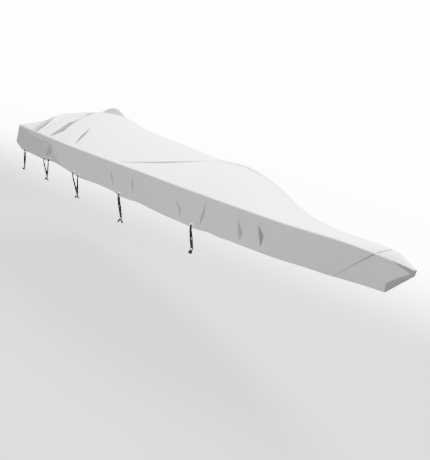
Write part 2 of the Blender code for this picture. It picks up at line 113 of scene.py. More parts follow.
# Folds, as soft ridges (height over 0) and troughs (under 0). Across a skirt, the side is the depth.
FOLD = "from_along from_across to_along to_across bulge width height"
TOP_FOLDS = table(
    FOLD,
    (0.47, -0.85, 0.26, -0.3, 0, 0.055, 0.03), (0.56, -0.84, 0.38, -0.34, 0, 0.05, -0.024),
    (0.9, -0.84, 0.68, -0.34, 0.02, 0.055, -0.026), (1.48, -0.84, 1.2, -0.48, 0.01, 0.045, -0.016),
    (0.7, -0.34, 0.55, -0.1, 0, 0.04, -0.014), (2.26, -0.78, 3.05, 0, -0.07, 0.045, -0.014),
    (0.6, 0.82, 0.34, 0.32, 0, 0.07, 0.02), (1.52, 0.82, 1.2, 0.4, 0, 0.06, -0.014),
    (2.4, 0.76, 3.06, 0.06, 0.06, 0.06, -0.01))
LUMPS = table(
    "station side length width height",
    (0.45, 0.265, 0.33, 0.135, 0.178))
SKIRT_FOLDS = table(
    FOLD,
    (0.86, 0.06, 0.95, 0.2, 0, 0.045, 0.01), (1.02, 0.07, 1.08, 0.2, 0, 0.04, -0.012),
    (1.14, 0.08, 1.34, 0.24, 0, 0.06, 0.012), (2.22, 0.07, 2.34, 0.26, 0, 0.028, -0.009),
    (2.57, 0.05, 2.65, 0.27, 0, 0.026, -0.009), (3.14, 0.08, 3.29, 0.26, 0, 0.032, -0.011),
    (3.51, 0.03, 3.51, 0.28, 0, 0.032, -0.011), (3.82, 0.06, 3.89, 0.27, -0.016, 0.036, -0.014),
    (4.0, 0.07, 4.09, 0.27, -0.015, 0.038, -0.02))
EYELET_STATIONS = (0.370, 0.925, 1.045, 1.610, 1.715, 2.460, 3.430)
# Ties by the first and last eyelet they pass, counted from 0: how far the bead hangs below those and ahead
# of their middle, and where the two tails end, ahead of the bead's middle and below the bend under it.
TIES = table(
    "first_eyelet last_eyelet drop lean tail_aft tail_aft_down tail_fore tail_fore_down",
    (0, 0, 0.215, 0.055, -0.032, 0.026, 0.004, 0.03), (1, 2, 0.205, 0.07, -0.034, 0.03, 0.05, 0.016),
    (3, 4, 0.215, 0.092, -0.028, 0.03, 0.05, 0.014), (5, 5, 0.225, 0.1, -0.026, 0.04, 0.05, 0.026),
    (6, 6, 0.21, 0.062, -0.016, 0.036, 0.008, 0.034))
# First half of a strand's turn: through one eyelet, from outside to inside, and from one to the next.
TURN_THROUGH_ONE = table(
    "forward out down",
    (0, 0.0096, 0.042), (0, STRAND_OUT, 0.026), (0, STRAND_OUT, 0.014), (0, 0.0108, 0.0056),
    (0, 0.0040, 0.0014))
TURN_INTO_PAIR = table(
    "forward out down",
    (0, STRAND_OUT, 0.030), (0, STRAND_OUT, 0.014), (0, 0.0108, 0.0056), (0, 0.0040, 0.0014),
    (0.0008, -0.0040, 0.0004), (0.0085, -STRAND_OUT, -0.001))

# ---- tables of the looks alone
# Fine creases of the top and of a skirt: shallow, so that the CAD part leaves them out.
FINE_TOP_FOLDS = table(
    FOLD,
    (0.3, -0.86, 0.12, -0.42, 0.01, 0.022, -0.005), (0.72, -0.86, 0.5, -0.4, 0.012, 0.02, -0.005),
    (1.1, -0.86, 0.96, -0.56, 0.008, 0.02, -0.004), (1.24, -0.86, 1.1, -0.62, 0, 0.018, 0.004),
    (1.72, -0.84, 1.58, -0.62, 0.006, 0.02, -0.004), (2.5, -0.79, 2.42, -0.58, 0, 0.02, -0.003),
    (3.42, -0.66, 3.3, -0.44, 0.006, 0.02, -0.004), (3.56, -0.6, 3.7, -0.3, 0, 0.03, -0.004),
    (3.7, -0.2, 4.3, -0.05, 0.01, 0.03, -0.004), (4.3, -0.3, 4.8, -0.1, 0, 0.02, -0.003),
    (0.32, 0.86, 0.14, 0.44, -0.01, 0.022, -0.005), (1.08, 0.86, 0.94, 0.54, -0.008, 0.02, -0.004),
    (1.74, 0.84, 1.6, 0.6, -0.006, 0.02, -0.004), (2.52, 0.79, 2.44, 0.58, 0, 0.02, -0.003),
    (3.44, 0.66, 3.32, 0.44, -0.006, 0.02, -0.004), (3.7, 0.24, 4.3, 0.06, -0.01, 0.03, -0.004),
    (0.52, 0.12, 0.5, -0.2, 0, 0.04, -0.006), (0.66, 0.3, 0.98, 0.26, 0.02, 0.035, -0.006))
FINE_SKIRT_FOLDS = table(
    FOLD,
    (0.2, 0.04, 0.25, 0.24, 0.006, 0.02, -0.004), (0.52, 0.05, 0.5, 0.22, 0, 0.024, 0.004),
    (0.7, 0.05, 0.74, 0.24, 0, 0.02, -0.004), (1.46, 0.05, 1.52, 0.22, 0.004, 0.022, -0.004),
    (1.86, 0.06, 1.84, 0.26, 0, 0.024, 0.004), (2.06, 0.05, 2.1, 0.24, 0, 0.02, -0.003),
    (2.86, 0.06, 2.9, 0.26, 0, 0.022, -0.004), (3.28, 0.06, 3.34, 0.22, 0, 0.018, -0.003),
    (3.66, 0.05, 3.66, 0.26, 0, 0.022, 0.004), (4.3, 0.05, 4.36, 0.26, 0.004, 0.024, -0.004),
    (4.54, 0.05, 4.56, 0.24, 0, 0.022, 0.003))
# Patches of painted shade on the cloth, where its folds would lie in shade. The strength is how much. Each
# patch is widest at the share of its length called fullest. There the lean shifts its middle, in half
# widths: at
# 1 or -1 all of it is on one side of its straight line, and beyond that the patch is bent like an elbow.
SHADE = "from_along from_across to_along to_across bulge width strength fullest lean"
BROAD_TOP_SHADES = table(
    SHADE,
    (0.6, -1.05, 0.34, -0.52, 0, 0.06, 0.7, 0.33, 0))
TOP_SHADES = table(
    SHADE,
    (0.67, -1.05, 0.375, -0.54, 0, 0.03, 1.0, 0.28, 0),
    (0.92, -0.89, 0.725, -0.338, 0, 0.064, 1.0, 0.22, -0.8),
    (0.92, -0.89, 0.725, -0.338, 0, 0.054, 1.0, 0.68, 0.5),
    (1.5, -0.86, 1.19, -0.48, 0.018, 0.024, 1.0, 0.55, 0),
    (0.735, -0.355, 0.545, -0.095, 0.004, 0.048, 1.0, 0.5, 0),
    (2.28, -0.79, 3.08, -0.05, -0.105, 0.036, 0.95, 0.45, 0),
    (2.92, -0.2, 3.64, 0, 0.02, 0.034, 0.72, 0.5, 0), (3.4, -0.02, 3.8, 0.3, -0.02, 0.034, 0.72, 0.5, 0))
SKIRT_SHADES = table(
    SHADE,
    (0.973, 0.062, 0.943, 0.246, 0, 0.047, 0.74, 0.57, -1.0),
    (2.22, 0.07, 2.34, 0.26, 0, 0.013, 0.6, 0.5, 0), (2.57, 0.05, 2.65, 0.27, -0.004, 0.014, 0.66, 0.5, 0),
    (3.13, 0.078, 3.284, 0.296, 0, 0.013, 0.64, 0.72, -2.8),
    (3.51, 0.035, 3.505, 0.293, 0, 0.014, 0.68, 0.6, 0),
    (3.806, 0.064, 3.888, 0.292, 0, 0.019, 0.66, 0.68, -1.0),
    (3.99, 0.075, 4.081, 0.292, 0, 0.02, 0.95, 0.48, -1.0))
# Painted shade on the cloth over the lump: an oval whose edge fades over a share of its half size.
LUMP_SHADE = table(
    "station side length width strength fade",
    (0.52, 0.25, 0.52, 0.22, 0.86, 0.22))
# Painted shade on the skirt: on the seams' tapes, at the aft end, and in a band up the stem.
SEAM_SHADE = 0.80
SEAM_SHADE_TOP = 0.85
SEAM_SHADE_HEM = 0.15
AFT_STRENGTH = 0.37
STEM_STRENGTH = 0.80
# Width of the band of painted shade behind the stem, by the share of the skirt's depth: it starts as a
# wedge on top.
STEM = table(
    "share width",
    (0, 0.175), (0.075, 0.111), (0.13, 0.03), (0.4, 0.052), (0.69, 0.067), (1.0, 0.003))
# Length of the nose whose top has the same painted shade as the band.
NOSE_SHADE = 0.016
# Width over which a patch's edge fades, the half width under which it fades as a whole, so that its thin
# tips don't break up, and the power of its taper, which rounds the sides of a patch with no lean.
SHADE_RIM = 0.006
TIP_FADE = 0.010
ROUND_TAPER = 0.8
# Lower limit of the unshaded cloth at the aft end of a side skirt: below and behind this line it has
# painted shade.
AFT_SHADE = table(
    "station depth",
    (0, 0.022), (0.18, 0.032), (0.5, 0.061), (0.74, 0.062), (0.93, 0.051), (1.02, 0.086), (1.08, 0.127),
    (1.28, 0.241), (1.33, 0.3))

# ---- shape of the cover


def through(rows, column, at):
    """Smooth curve through a column of a table, by its first column, with no overshoot between rows."""
    knots = np.array([row[0] for row in rows])
    values = np.array([getattr(row, column) for row in rows])
    spans = np.diff(knots)
    slopes = np.diff(values) / spans
    heavy = 2 * spans[1:] + spans[:-1]
    light = spans[1:] + 2 * spans[:-1]
    same_way = slopes[1:] * slopes[:-1] > 0
    safe = np.where(same_way, slopes[1:] * slopes[:-1], 1.0)
    blend = (heavy + light) * safe / (heavy * slopes[1:] + light * slopes[:-1] + 1e-12 * ~same_way)
    tangents = np.concatenate(([slopes[0]], np.where(same_way, blend, 0.0), [slopes[-1]]))
    at = np.clip(at, knots[0], knots[-1])
    span = np.clip(np.searchsorted(knots, at, side="right") - 1, 0, len(spans) - 1)
    part = (at - knots[span]) / spans[span]
    rise = values[span + 1] - values[span]
    start = tangents[span] * spans[span]
    end = tangents[span + 1] * spans[span]
    square = 3 * rise - 2 * start - end
    cube = start + end - 2 * rise
    return values[span] + part * start + part**2 * square + part**3 * cube


def smooth_step(value):
    """Rise from 0 to 1 with level ends."""
    value = np.clip(value, 0.0, 1.0)
    return value * value * (3.0 - 2.0 * value)


def unit(vectors):
    """Vectors of length 1."""
    return vectors / np.maximum(np.linalg.norm(vectors, axis=-1, keepdims=True), 1e-12)


def square_to(first, second, axis, way=1.0):
    """Directions square to two others, each turned round where it points the wrong way along an axis."""
    across = unit(np.cross(first, second))
    return np.where(across[:, axis:axis + 1] * way < 0, -across, across)


def full_turn(count):
    """Angles evenly spaced round a full turn."""
    return np.linspace(0.0, 2 * math.pi, count, endpoint=False)


def run_along(line):
    """Length run along a line, from 0 at its first point."""
    return np.concatenate(([0.0], np.cumsum(np.linalg.norm(np.diff(line, axis=0), axis=1))))


def half_breadth(station):
    """Half of the width at the gunwale, with rounded stern corners and a rounded nose."""
    from_corner = np.clip(CORNER_RADIUS - station, 0.0, CORNER_RADIUS)
    breadth = through(EDGE, "half_breadth", station) - CORNER_RADIUS
    breadth = breadth + np.sqrt(CORNER_RADIUS**2 - from_corner**2)
    from_nose = 1.0 - np.clip((LENGTH - station) / NOSE_RADIUS, 0.0, 1.0)
    return breadth * np.sqrt(1.0 - from_nose**2)


def edge_height(station):
    """Height of the gunwale."""
    return through(EDGE, "height", station)


def along_fold(fold, along, across):
    """Share of the way along a fold's bowed middle line, and the distance aside of it."""
    from_along, from_across, to_along, to_across, bulge = fold[:5]
    run = np.array((to_along - from_along, to_across - from_across))
    length = np.hypot(*run)
    heading = run / length
    ahead = ((along - from_along) * heading[0] + (across - from_across) * heading[1]) / length
    ahead = np.clip(ahead, 0.0, 1.0)
    aside = (across - from_across) * heading[0] - (along - from_along) * heading[1]
    return ahead, aside - 4.0 * bulge * ahead * (1.0 - ahead)


def fold_relief(folds, along, across):
    """Sum of soft folds: each is a bell across its line and swells from nothing at both of its ends."""
    relief = np.zeros(np.broadcast(along, across).shape)
    for fold in folds:
        ahead, aside = along_fold(fold, along, across)
        relief += fold.height * np.sqrt(np.sin(math.pi * ahead)) * np.exp(-((aside / fold.width) ** 2))
    return relief


def fold_marks(patches, along, across):
    """How deep each point lies inside the nearest kite-shaped patch of painted shade, and how strong that
    patch is.
    """
    inside = np.full(np.broadcast(along, across).shape, -1.0)
    strong = np.zeros(inside.shape)
    for patch in patches:
        ahead, aside = along_fold(patch, along, across)
        taper = np.minimum(ahead / patch.fullest, (1.0 - ahead) / (1.0 - patch.fullest))
        half = patch.width * np.clip(taper, 0.0, 1.0) ** (1.0 if patch.lean else ROUND_TAPER)
        depth = half - np.abs(aside - patch.lean * half)
        depth = np.where((ahead > 0.0) & (ahead < 1.0), depth, -np.abs(aside) - SHADE_RIM)
        strong = np.where(depth > inside, patch.strength * smooth_step(half / TIP_FADE), strong)
        inside = np.maximum(inside, depth)
    return {"fold_inside": inside, "fold_strength": strong}


def area_marks(inside, strength):
    """The same for a broad stretch of painted shade: depth inside its edge, over 0 where it is shaded, and
    strength.
    """
    return {"area_inside": inside, "area_strength": strength}


def broad_top_marks(station, side):
    """The broad stretches of painted shade on the top: the oval over the lump, and the pale folds beside
    the corner.
    """
    lump = LUMP_SHADE[0]
    in_oval = 1.0 - np.hypot((station - lump.station) / lump.length, (side - lump.side) / lump.width)
    in_oval = in_oval * SHADE_RIM / lump.fade
    in_folds, strength = fold_marks(BROAD_TOP_SHADES, station, side).values()
    return area_marks(np.maximum(in_oval, in_folds), np.where(in_folds > in_oval, strength, lump.strength))


def area_only(inside, strength):
    """Marks of a broad stretch of painted shade where there are no shaded folds."""
    return {"fold_inside": -1.0, "fold_strength": 0.0, **area_marks(inside, strength)}


PLAIN = area_only(-1.0, 0.0)


def top_height(station, side, fine=()):
    """Height of the top over a point of the plan: the section's curve, then lumps, then folds."""
    share = np.clip(np.abs(side) / np.maximum(half_breadth(station), 1e-4), 0.0, 1.0)
    section = through(RIDGE, "rise", station) * (1.0 - share ** through(RIDGE, "fullness", station))
    held = 1.0 - share**6
    for lump in LUMPS:
        reach = ((station - lump.station) / lump.length) ** 2 + ((side - lump.side) / lump.width) ** 2
        section = section + lump.height * held * np.exp(-reach)
    return edge_height(station) + section + held * fold_relief((*TOP_FOLDS, *fine), station, side)


MOUNT_HEIGHT = float(top_height(np.array(MOUNT_STATION), np.array(0.0))) - CAD_CLOTH / 2


def to_part(station, side, height):
    """Stations, sides and heights as points in the part's own frame."""
    station, side, height = np.broadcast_arrays(station, side, height)
    return np.stack((station - MOUNT_STATION, side, height - MOUNT_HEIGHT), axis=-1)


def hem_depth(station):
    """Depth of the side skirt at a station of the gunwale."""
    return through(HEM, "depth", station)


def plan_normal(station):
    """Outward direction of the starboard gunwale in plan, as its forward and sideways parts."""
    nudge = 1e-6
    before = np.clip(station - nudge, 0.0, LENGTH)
    after = np.clip(station + nudge, 0.0, LENGTH)
    slope = (half_breadth(after) - half_breadth(before)) / (after - before)
    size = np.hypot(slope, 1.0)
    return -slope / size, -1.0 / size


def bow_reach(station):
    """How far a station is into the bow: 0 where its shape starts, and 1 from the bow seam on."""
    return smooth_step((station - BOW_START) / (BOW_SEAM_STATION - BOW_START))


def skirt_point(station, depth, side=-1, fine=()):
    """Point of the side skirt that hangs from a station of the gunwale, at a depth below it."""
    share = depth / hem_depth(station)
    near_eyelet = np.ones(np.broadcast(station, depth).shape)
    for eyelet in EYELET_STATIONS:
        away = np.hypot(station - eyelet, depth - hem_depth(eyelet) + EYELET_TO_HEM)
        near_eyelet = near_eyelet * smooth_step((away - EYELET_PATCH * 2) / EYELET_PATCH)
    relief = fold_relief((*SKIRT_FOLDS, *fine), station, depth) * near_eyelet
    forward, sideways = plan_normal(station)
    near_nose = smooth_step((station - NOSE_START) / (LENGTH - NOSE_START))
    at_seam = through(RAKE, "at_seam", share)
    rake = bow_reach(station) * (at_seam + near_nose * (through(RAKE, "at_nose", share) - at_seam))
    across = half_breadth(station) - relief * sideways
    return to_part(station + relief * forward - rake, side * across, edge_height(station) - depth)


def seam_share(station):
    """How far a row follows the bow seam: fully at the seam, and less and less on both sides of it."""
    return bow_reach(station) * np.clip((LENGTH - station) / (LENGTH - BOW_SEAM_STATION), 0.0, 1.0)


# ---- mesh tools
SHARP_ANGLE = math.radians(50)


def add_object(name, data):
    """New object of some data, in the scene."""
    added = bpy.data.objects.new(name, data)
    bpy.context.scene.collection.objects.link(added)
    return added


def closed_mesh(name, shells, material):
    """One object from closed shells, each a dict of points, quads and the uv and marks of its points."""
    together = {key: np.concatenate([shell[key] for shell in shells])
                for key in shells[0] if key != "quads"}
    points = together.pop("points")
    starts = np.cumsum([0] + [len(shell["points"]) for shell in shells[:-1]])
    quads = np.concatenate([shell["quads"] + start for shell, start in zip(shells, starts)])
    mesh = bpy.data.meshes.new(name)
    mesh.vertices.add(len(points))
    mesh.vertices.foreach_set("co", points.astype(np.float32).ravel())
    mesh.loops.add(quads.size)
    mesh.loops.foreach_set("vertex_index", quads.astype(np.int32).ravel())
    mesh.polygons.add(len(quads))
    mesh.polygons.foreach_set("loop_start", np.arange(0, quads.size, 4, dtype=np.int32))
    mesh.update(calc_edges=True)
    mesh.polygons.foreach_set("use_smooth", np.ones(len(quads), dtype=bool))
    uv = together.pop("uv")[quads.ravel()]
    mesh.uv_layers.new(name="cloth")
    mesh.uv_layers["cloth"].uv.foreach_set("vector", uv.astype(np.float32).ravel())
    for key, values in sorted(together.items()):
        mesh.attributes.new(key, "FLOAT", "POINT").data.foreach_set("value", values.astype(np.float32))
    mesh.validate()
    mesh.set_sharp_from_angle(angle=SHARP_ANGLE)
    mesh.materials.append(material)
    piece = add_object(name, mesh)
    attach(piece, "root")
    return piece


def in_place_of(node, piece):
    """The same piece, with the CAD node that it replaces hidden."""
    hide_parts(node)
    return piece


def grid_quads(rows, columns, wrap_rows=False, wrap_columns=False):
    """Corner numbers of the quads of a grid of points, joined end to end in either way on request."""
    index = np.arange(rows * columns).reshape(rows, columns)
    if wrap_rows:
        index = np.vstack((index, index[:1]))
    if wrap_columns:
        index = np.hstack((index, index[:, :1]))
    corners = (index[:-1, :-1], index[1:, :-1], index[1:, 1:], index[:-1, 1:])
    return np.stack(corners, axis=-1).reshape(-1, 4)


def uv_grid(along, across):
    """UV of a grid: one length for each of its rows, and one for each column or for each point."""
    return np.stack(np.broadcast_arrays(along[:, None], across), axis=-1)


def point_marks(marks, shape):
    """Marks as one value for each point of a grid."""
    return {key: np.broadcast_to(value, shape).reshape(-1) for key, value in marks.items()}


def outward(shell):
    """The same shell with its faces turned round if its volume comes out below zero."""
    a, b, c, d = (shell["points"][shell["quads"][:, i]] for i in range(4))
    volume = np.einsum("ij,ij->", a, np.cross(b, c)) + np.einsum("ij,ij->", a, np.cross(c, d))
    return shell if volume > 0 else {**shell, "quads": shell["quads"][:, ::-1]}


def cloth_shell(middle, half, uv, marks, holes=None):
    """Closed sheet: a grid offset by half its thickness to both sides, its rims and its holes walled."""
    rows, columns = shape = middle.shape[:2]
    normal = unit(np.cross(np.gradient(middle, axis=0), np.gradient(middle, axis=1)))
    normal = normal * np.broadcast_to(half, shape)[..., None]
    quads = grid_quads(rows, columns)
    if holes is not None:
        quads = quads[~holes.reshape(-1)]
    count = rows * columns
    sides = np.concatenate([np.stack((quads[:, i], quads[:, (i + 1) % 4]), axis=1) for i in range(4)])
    forward = sides[:, 0] * count + sides[:, 1]
    backward = sides[:, 1] * count + sides[:, 0]
    rim = sides[~np.isin(forward, backward)]
    walls = np.stack((rim[:, 1], rim[:, 0], rim[:, 0] + count, rim[:, 1] + count), axis=1)
    return outward({
        "points": np.concatenate((middle + normal, middle - normal)).reshape(-1, 3),
        "quads": np.concatenate((quads, quads[:, ::-1] + count, walls)),
        "uv": np.tile(uv.reshape(-1, 2), (2, 1)),
        **{key: np.tile(value, 2) for key, value in point_marks(marks, shape).items()},
    })


def swept_shell(rings, uv, marks=None, closed=False):
    """Closed solid from equal rings of points carried along a path; open ends are closed with a fan."""
    count, around = rings.shape[:2]
    quads = grid_quads(count, around, wrap_rows=closed, wrap_columns=True)
    points = rings.reshape(-1, 3)
    uv = uv.reshape(-1, 2)
    marks = point_marks(marks or {}, (count, around))
    if not closed:
        points = np.concatenate((points, np.stack((rings[0].mean(axis=0), rings[-1].mean(axis=0)))))
        uv = np.concatenate((uv, uv[:1], uv[-1:]))
        marks = {key: np.concatenate((value, value[:1], value[-1:])) for key, value in marks.items()}
        ring = np.arange(0, around, 2)
        last = (count - 1) * around
        hub = np.full(len(ring), count * around)
        first_fan = np.stack((hub, ring, (ring + 1) % around, (ring + 2) % around), axis=1)
        last_fan = np.stack((hub + 1, (ring + 2) % around + last, ring + 1 + last, ring + last), axis=1)
        quads = np.concatenate((quads, first_fan, last_fan))
    return outward({"points": points, "quads": quads, "uv": uv, **marks})


# ---- cloth
CORNER_TURNS = 13
CORNER_STATIONS = CORNER_RADIUS * (1.0 - np.cos(np.linspace(0.0, math.pi / 2, CORNER_TURNS)[:-1]))
TRANSOM_HALF = half_breadth(np.array(0.0))
TOP_ROWS = 330
TOP_SPREAD = 118
# Part of a quarter turn over which the top's columns crowd towards the gunwale.
TOP_CROWDING = 1.35
BOW_ROWS = 60
BOW_SPREAD = 60
EDGE_POINTS = 260
STERN_POINTS = 81
SEAM_POINTS = 61
# Step aside by which a seam finds the slope of the cloth under it, and the same for the welt.
SEAM_NUDGE = 0.01
WELT_NUDGE = 0.008
TAPE_POINTS = 40
TAPE_START = 0.02
STEM_TURNS = 71
TRANSOM_COLUMNS = 161
TRANSOM_UPPER_ROWS = 22
TRANSOM_TAPE_POINTS = 30
TRANSOM_TAPE_OUT = 0.0012
TRANSOM_TAPE_START = 0.004
SKIRT_STEP = 0.0095
SKIRT_UPPER_ROWS = 26
# Heights above the hem at which a skirt has rows of points: close where the hem's edge and fold lie.
HEM_HEIGHTS = (0.060, 0.050, 0.042, 0.034, 0.0288, 0.0275, 0.0265, 0.0155, 0.010, 0.004, 0.0012, 0.0)
HOLE_HEIGHT = 0.0265
# Half width of the cell left out of a skirt's grid at each eyelet, and how near to it a column may be.
EYELET_CELL = 0.0055
LEAST_COLUMN = 0.6 * EYELET_CELL
# Points within the first radius are pushed off an eyelet's middle, the inmost to the second, which rims the
# hole, and less so over the last length above the hem.
HOLE_SQUEEZE = 0.036
HOLE_RIM = 0.0120
HOLE_HEM_FADE = 0.012
FOLD_EDGE = 0.0015
HEM_ROUND = 0.0016
HEM_LEAST = 0.18
# The welt is the turned-down seam of the top. Its section: lengths in along the top's slope, up from it,
# out, out at the corner and down, and which points hang over the skirt, from 0 for no to 1 for yes.
WELT = 0.009
WELT_SECTION = table(
    "slope normal out corner down underside",
    (0.0090, 0.0006, 0, 0, 0, 0), (0.0084, 0.0019, 0, 0, 0, 0), (0.0068, 0.0026, 0, 0, 0, 0),
    (0.0030, 0.0026, 0, 0, 0, 0), (0, 0, 0, 0.0030, 0, 0.5), (0, 0, 0.0026, 0, 0.0035, 1),
    (0, 0, 0.0026, 0, 0.0072, 1), (0, 0, 0.0020, 0, 0.0087, 1), (0, 0, 0.0013, 0, 0.0090, 1),
    (0, 0, 0.0013, 0, 0.0040, 1), (0, 0, 0, 0.0008, 0, 0.5), (0.0040, 0.0005, 0, 0, 0, 0))
TAPE_SECTION = table(
    "ahead up",
    (-0.009, 0.0004), (-0.0082, 0.0016), (-0.006, 0.0021), (-0.0012, 0.0023), (0, 0.0017),
    (0.0012, 0.0023), (0.006, 0.0021), (0.0082, 0.0016), (0.009, 0.0004), (0, 0.0002))
# Added to the crosswise UV of the top's sheets, so that only welts and tapes have the stitches' lengths.
SHEET_START = 10.0


def cloth_uv(middle):
    """Lengths run along both ways of a grid, in metres, from its middle column and its first row."""
    centre = middle.shape[1] // 2
    across = np.linalg.norm(np.diff(middle, axis=1), axis=-1)
    across = np.concatenate((np.zeros((len(middle), 1)), np.cumsum(across, axis=1)), axis=1)
    return uv_grid(run_along(middle[:, centre]), across - across[:, centre:centre + 1] + SHEET_START)


def top_middle(ends, shares):
    """Middle surface of the top, with stations and sides: its rows bend as the bow seam does."""
    ends = ends[:, None]
    station = ends + BOW_SEAM_BEND * seam_share(ends) * (1.0 - shares[None, :] ** 2)
    side = shares[None, :] * half_breadth(station)
    return to_part(station, side, top_height(station, side, FINE_TOP_FOLDS)), station, side


def welt_shell(edge, out, marks=PLAIN):
    """Welt along the gunwale: its section carried along the edge, laid by the top's slope and way out."""
    station = edge[:, 0] - out[:, 0] * WELT_NUDGE + MOUNT_STATION
    side = edge[:, 1] - out[:, 1] * WELT_NUDGE
    slope = unit(to_part(station, side, top_height(station, side)) - edge)
    normal = square_to(np.cross(out, slope), slope, 2)
    ways = (slope, normal, out, unit(normal + out), np.array((0.0, 0.0, -1.0)))
    rings = [edge + sum(size * way for size, way in zip(point, ways)) for point in WELT_SECTION]
    uv = uv_grid(run_along(edge), np.linspace(-WELT, WELT, len(rings)))
    return swept_shell(np.stack(rings, axis=1), uv, marks)


def tape_shell(line, normal, ahead, strength):
    """Flat seam: a low rounded section carried along a line on the cloth, with painted shade of a strength.
    """
    rings = np.stack([line + ahead * point.ahead + normal * point.up for point in TAPE_SECTION], axis=1)
    uv = uv_grid(run_along(line), np.array([point.ahead for point in TAPE_SECTION]))
    return swept_shell(rings, uv, area_only(1.0, strength))


def side_edge(stations, side):
    """Points of one side's gunwale and the outward direction in plan at each."""
    forward, sideways = plan_normal(stations)
    edge = to_part(stations, side * half_breadth(stations), edge_height(stations))
    return edge, unit(np.stack((forward, -side * sideways, np.zeros(len(stations))), axis=1))


def stern_edge(shares):
    """Points of the top's aft edge, which arches over the transom, and the direction aft."""
    stern = np.zeros(len(shares))
    side = shares * TRANSOM_HALF
    return to_part(stern, side, top_height(stern, side)), np.tile((-1.0, 0.0, 0.0), (len(side), 1))


def make_top_main(material):
    """Main top: the draped grid from the transom to the bow seam, with its turned-down edge."""
    straight = np.linspace(CORNER_RADIUS, BOW_SEAM_STATION - SEAM_GAP, TOP_ROWS)
    crowded = np.linspace(-TOP_CROWDING, TOP_CROWDING, TOP_SPREAD + 1)
    middle, station, side = top_middle(np.concatenate((CORNER_STATIONS, straight)),
                                       np.sin(crowded) / math.sin(TOP_CROWDING))
    # Painted shade in the top's folds, over the lump and beside the corner.
    marks = {**fold_marks(TOP_SHADES, station, side), **broad_top_marks(station, side)}
    sheet = cloth_shell(middle, CLOTH / 2, cloth_uv(middle), marks)
    turns = np.linspace(math.pi / 2, 0.0, CORNER_TURNS + 1)[1:]
    stations = np.concatenate((np.linspace(BOW_SEAM_STATION, CORNER_RADIUS, EDGE_POINTS),
                               CORNER_RADIUS * (1.0 - np.cos(turns))))
    stern = stern_edge(np.linspace(-1.0, 1.0, STERN_POINTS)[1:-1])
    edge, out = map(np.concatenate, zip(side_edge(stations, -1), stern, side_edge(stations[::-1], 1)))
    return closed_mesh("cover_top_main", [sheet, welt_shell(edge, out)], material)


def make_top_bow(material):
    """Bow top: from the seam to the rounded nose, its aft edge lapped over the main top and taped."""
    reach = LENGTH - NOSE_CUT - BOW_SEAM_STATION
    ends = BOW_SEAM_STATION + reach * np.sin(np.linspace(0.0, 1.0, BOW_ROWS + 1) * math.pi / 2)
    middle, station, _ = top_middle(ends, np.linspace(-1.0, 1.0, BOW_SPREAD + 1))
    # Painted shade on the nose of the sheet, and on the welt's nose and its leg that hangs towards the
    # stem.
    nose = area_only(NOSE_SHADE - (LENGTH - station), STEM_STRENGTH)
    sheet = cloth_shell(middle, CLOTH / 2, cloth_uv(middle), nose)
    stations = BOW_SEAM_STATION + reach * np.sin(np.linspace(0.0, math.pi / 2, BOW_ROWS))
    edge, out = map(np.concatenate, zip(side_edge(stations, -1), side_edge(stations[::-1], 1)))
    to_stem = LENGTH - np.concatenate((stations, stations[::-1]))[:, None]
    underside = np.array([point.underside for point in WELT_SECTION])
    greyed = NOSE_SHADE + (STEM[0].width - NOSE_SHADE) * underside
    welt = welt_shell(edge, out, area_only(greyed - to_stem, STEM_STRENGTH))

    across = BOW_SEAM_STATION + SEAM_NUDGE * np.array((-1, 0, 1))
    middle, _, _ = top_middle(across, np.linspace(-1.0, 1.0, SEAM_POINTS))
    along = np.gradient(middle[1], axis=0)
    normal = square_to(middle[2] - middle[0], along, 2)
    ahead = square_to(along, normal, 0)
    tape = tape_shell(middle[1, 1:-1], normal[1:-1], ahead[1:-1], SEAM_SHADE)
    return closed_mesh("cover_top_bow", [sheet, welt, tape], material)


def skirt_rows(upper, lower, count):
    """Rows of points from a skirt's upper edge to its hem: even at first, then at the hem's own heights."""
    even = np.linspace(0.0, 1.0, count + 1)[:-1]
    upper_rows = upper + (lower - HEM_HEIGHTS[0] - upper) * even
    return np.concatenate((upper_rows, lower - np.array(HEM_HEIGHTS)), axis=1)


def skirt_grid(ends):
    """Stations and depths of a skirt's points; towards the bow the columns lean aft as the seam does."""
    depth = hem_depth(ends)[:, None]
    share = skirt_rows(EDGE_DROP, depth, SKIRT_UPPER_ROWS) / depth
    station = ends[:, None] - BOW_SEAM_LEAN * seam_share(ends)[:, None] * share
    return station, share * hem_depth(station)


def hem_half(above):
    """Half thickness of a skirt by its height above the hem: doubled in the hem, rounded at its edge."""
    folded = smooth_step((HEM_WIDTH - above) / FOLD_EDGE)
    rounded_edge = np.sqrt(np.clip(above / HEM_ROUND, HEM_LEAST, 1.0))
    return (CLOTH / 2 + (HEM_CLOTH - CLOTH) / 2 * folded) * rounded_edge


def squeeze_from_eyelets(station, depth):
    """Push a skirt's points away from each eyelet's middle, so that a ring of them rims its hole."""
    for eyelet in EYELET_STATIONS:
        ahead = station - eyelet
        below = depth - hem_depth(eyelet) + EYELET_TO_HEM
        away = np.maximum(np.hypot(ahead, below), 1e-9)
        pushed = HOLE_RIM + (HOLE_SQUEEZE - HOLE_RIM) * away / HOLE_SQUEEZE
        above_hem = np.clip((hem_depth(station) - depth) / HOLE_HEM_FADE, 0.0, 1.0)
        scale = np.where(away < HOLE_SQUEEZE, 1.0 + (pushed / away - 1.0) * above_hem, 1.0)
        station = eyelet + ahead * scale
        depth = hem_depth(eyelet) - EYELET_TO_HEM + below * scale
    return station, depth


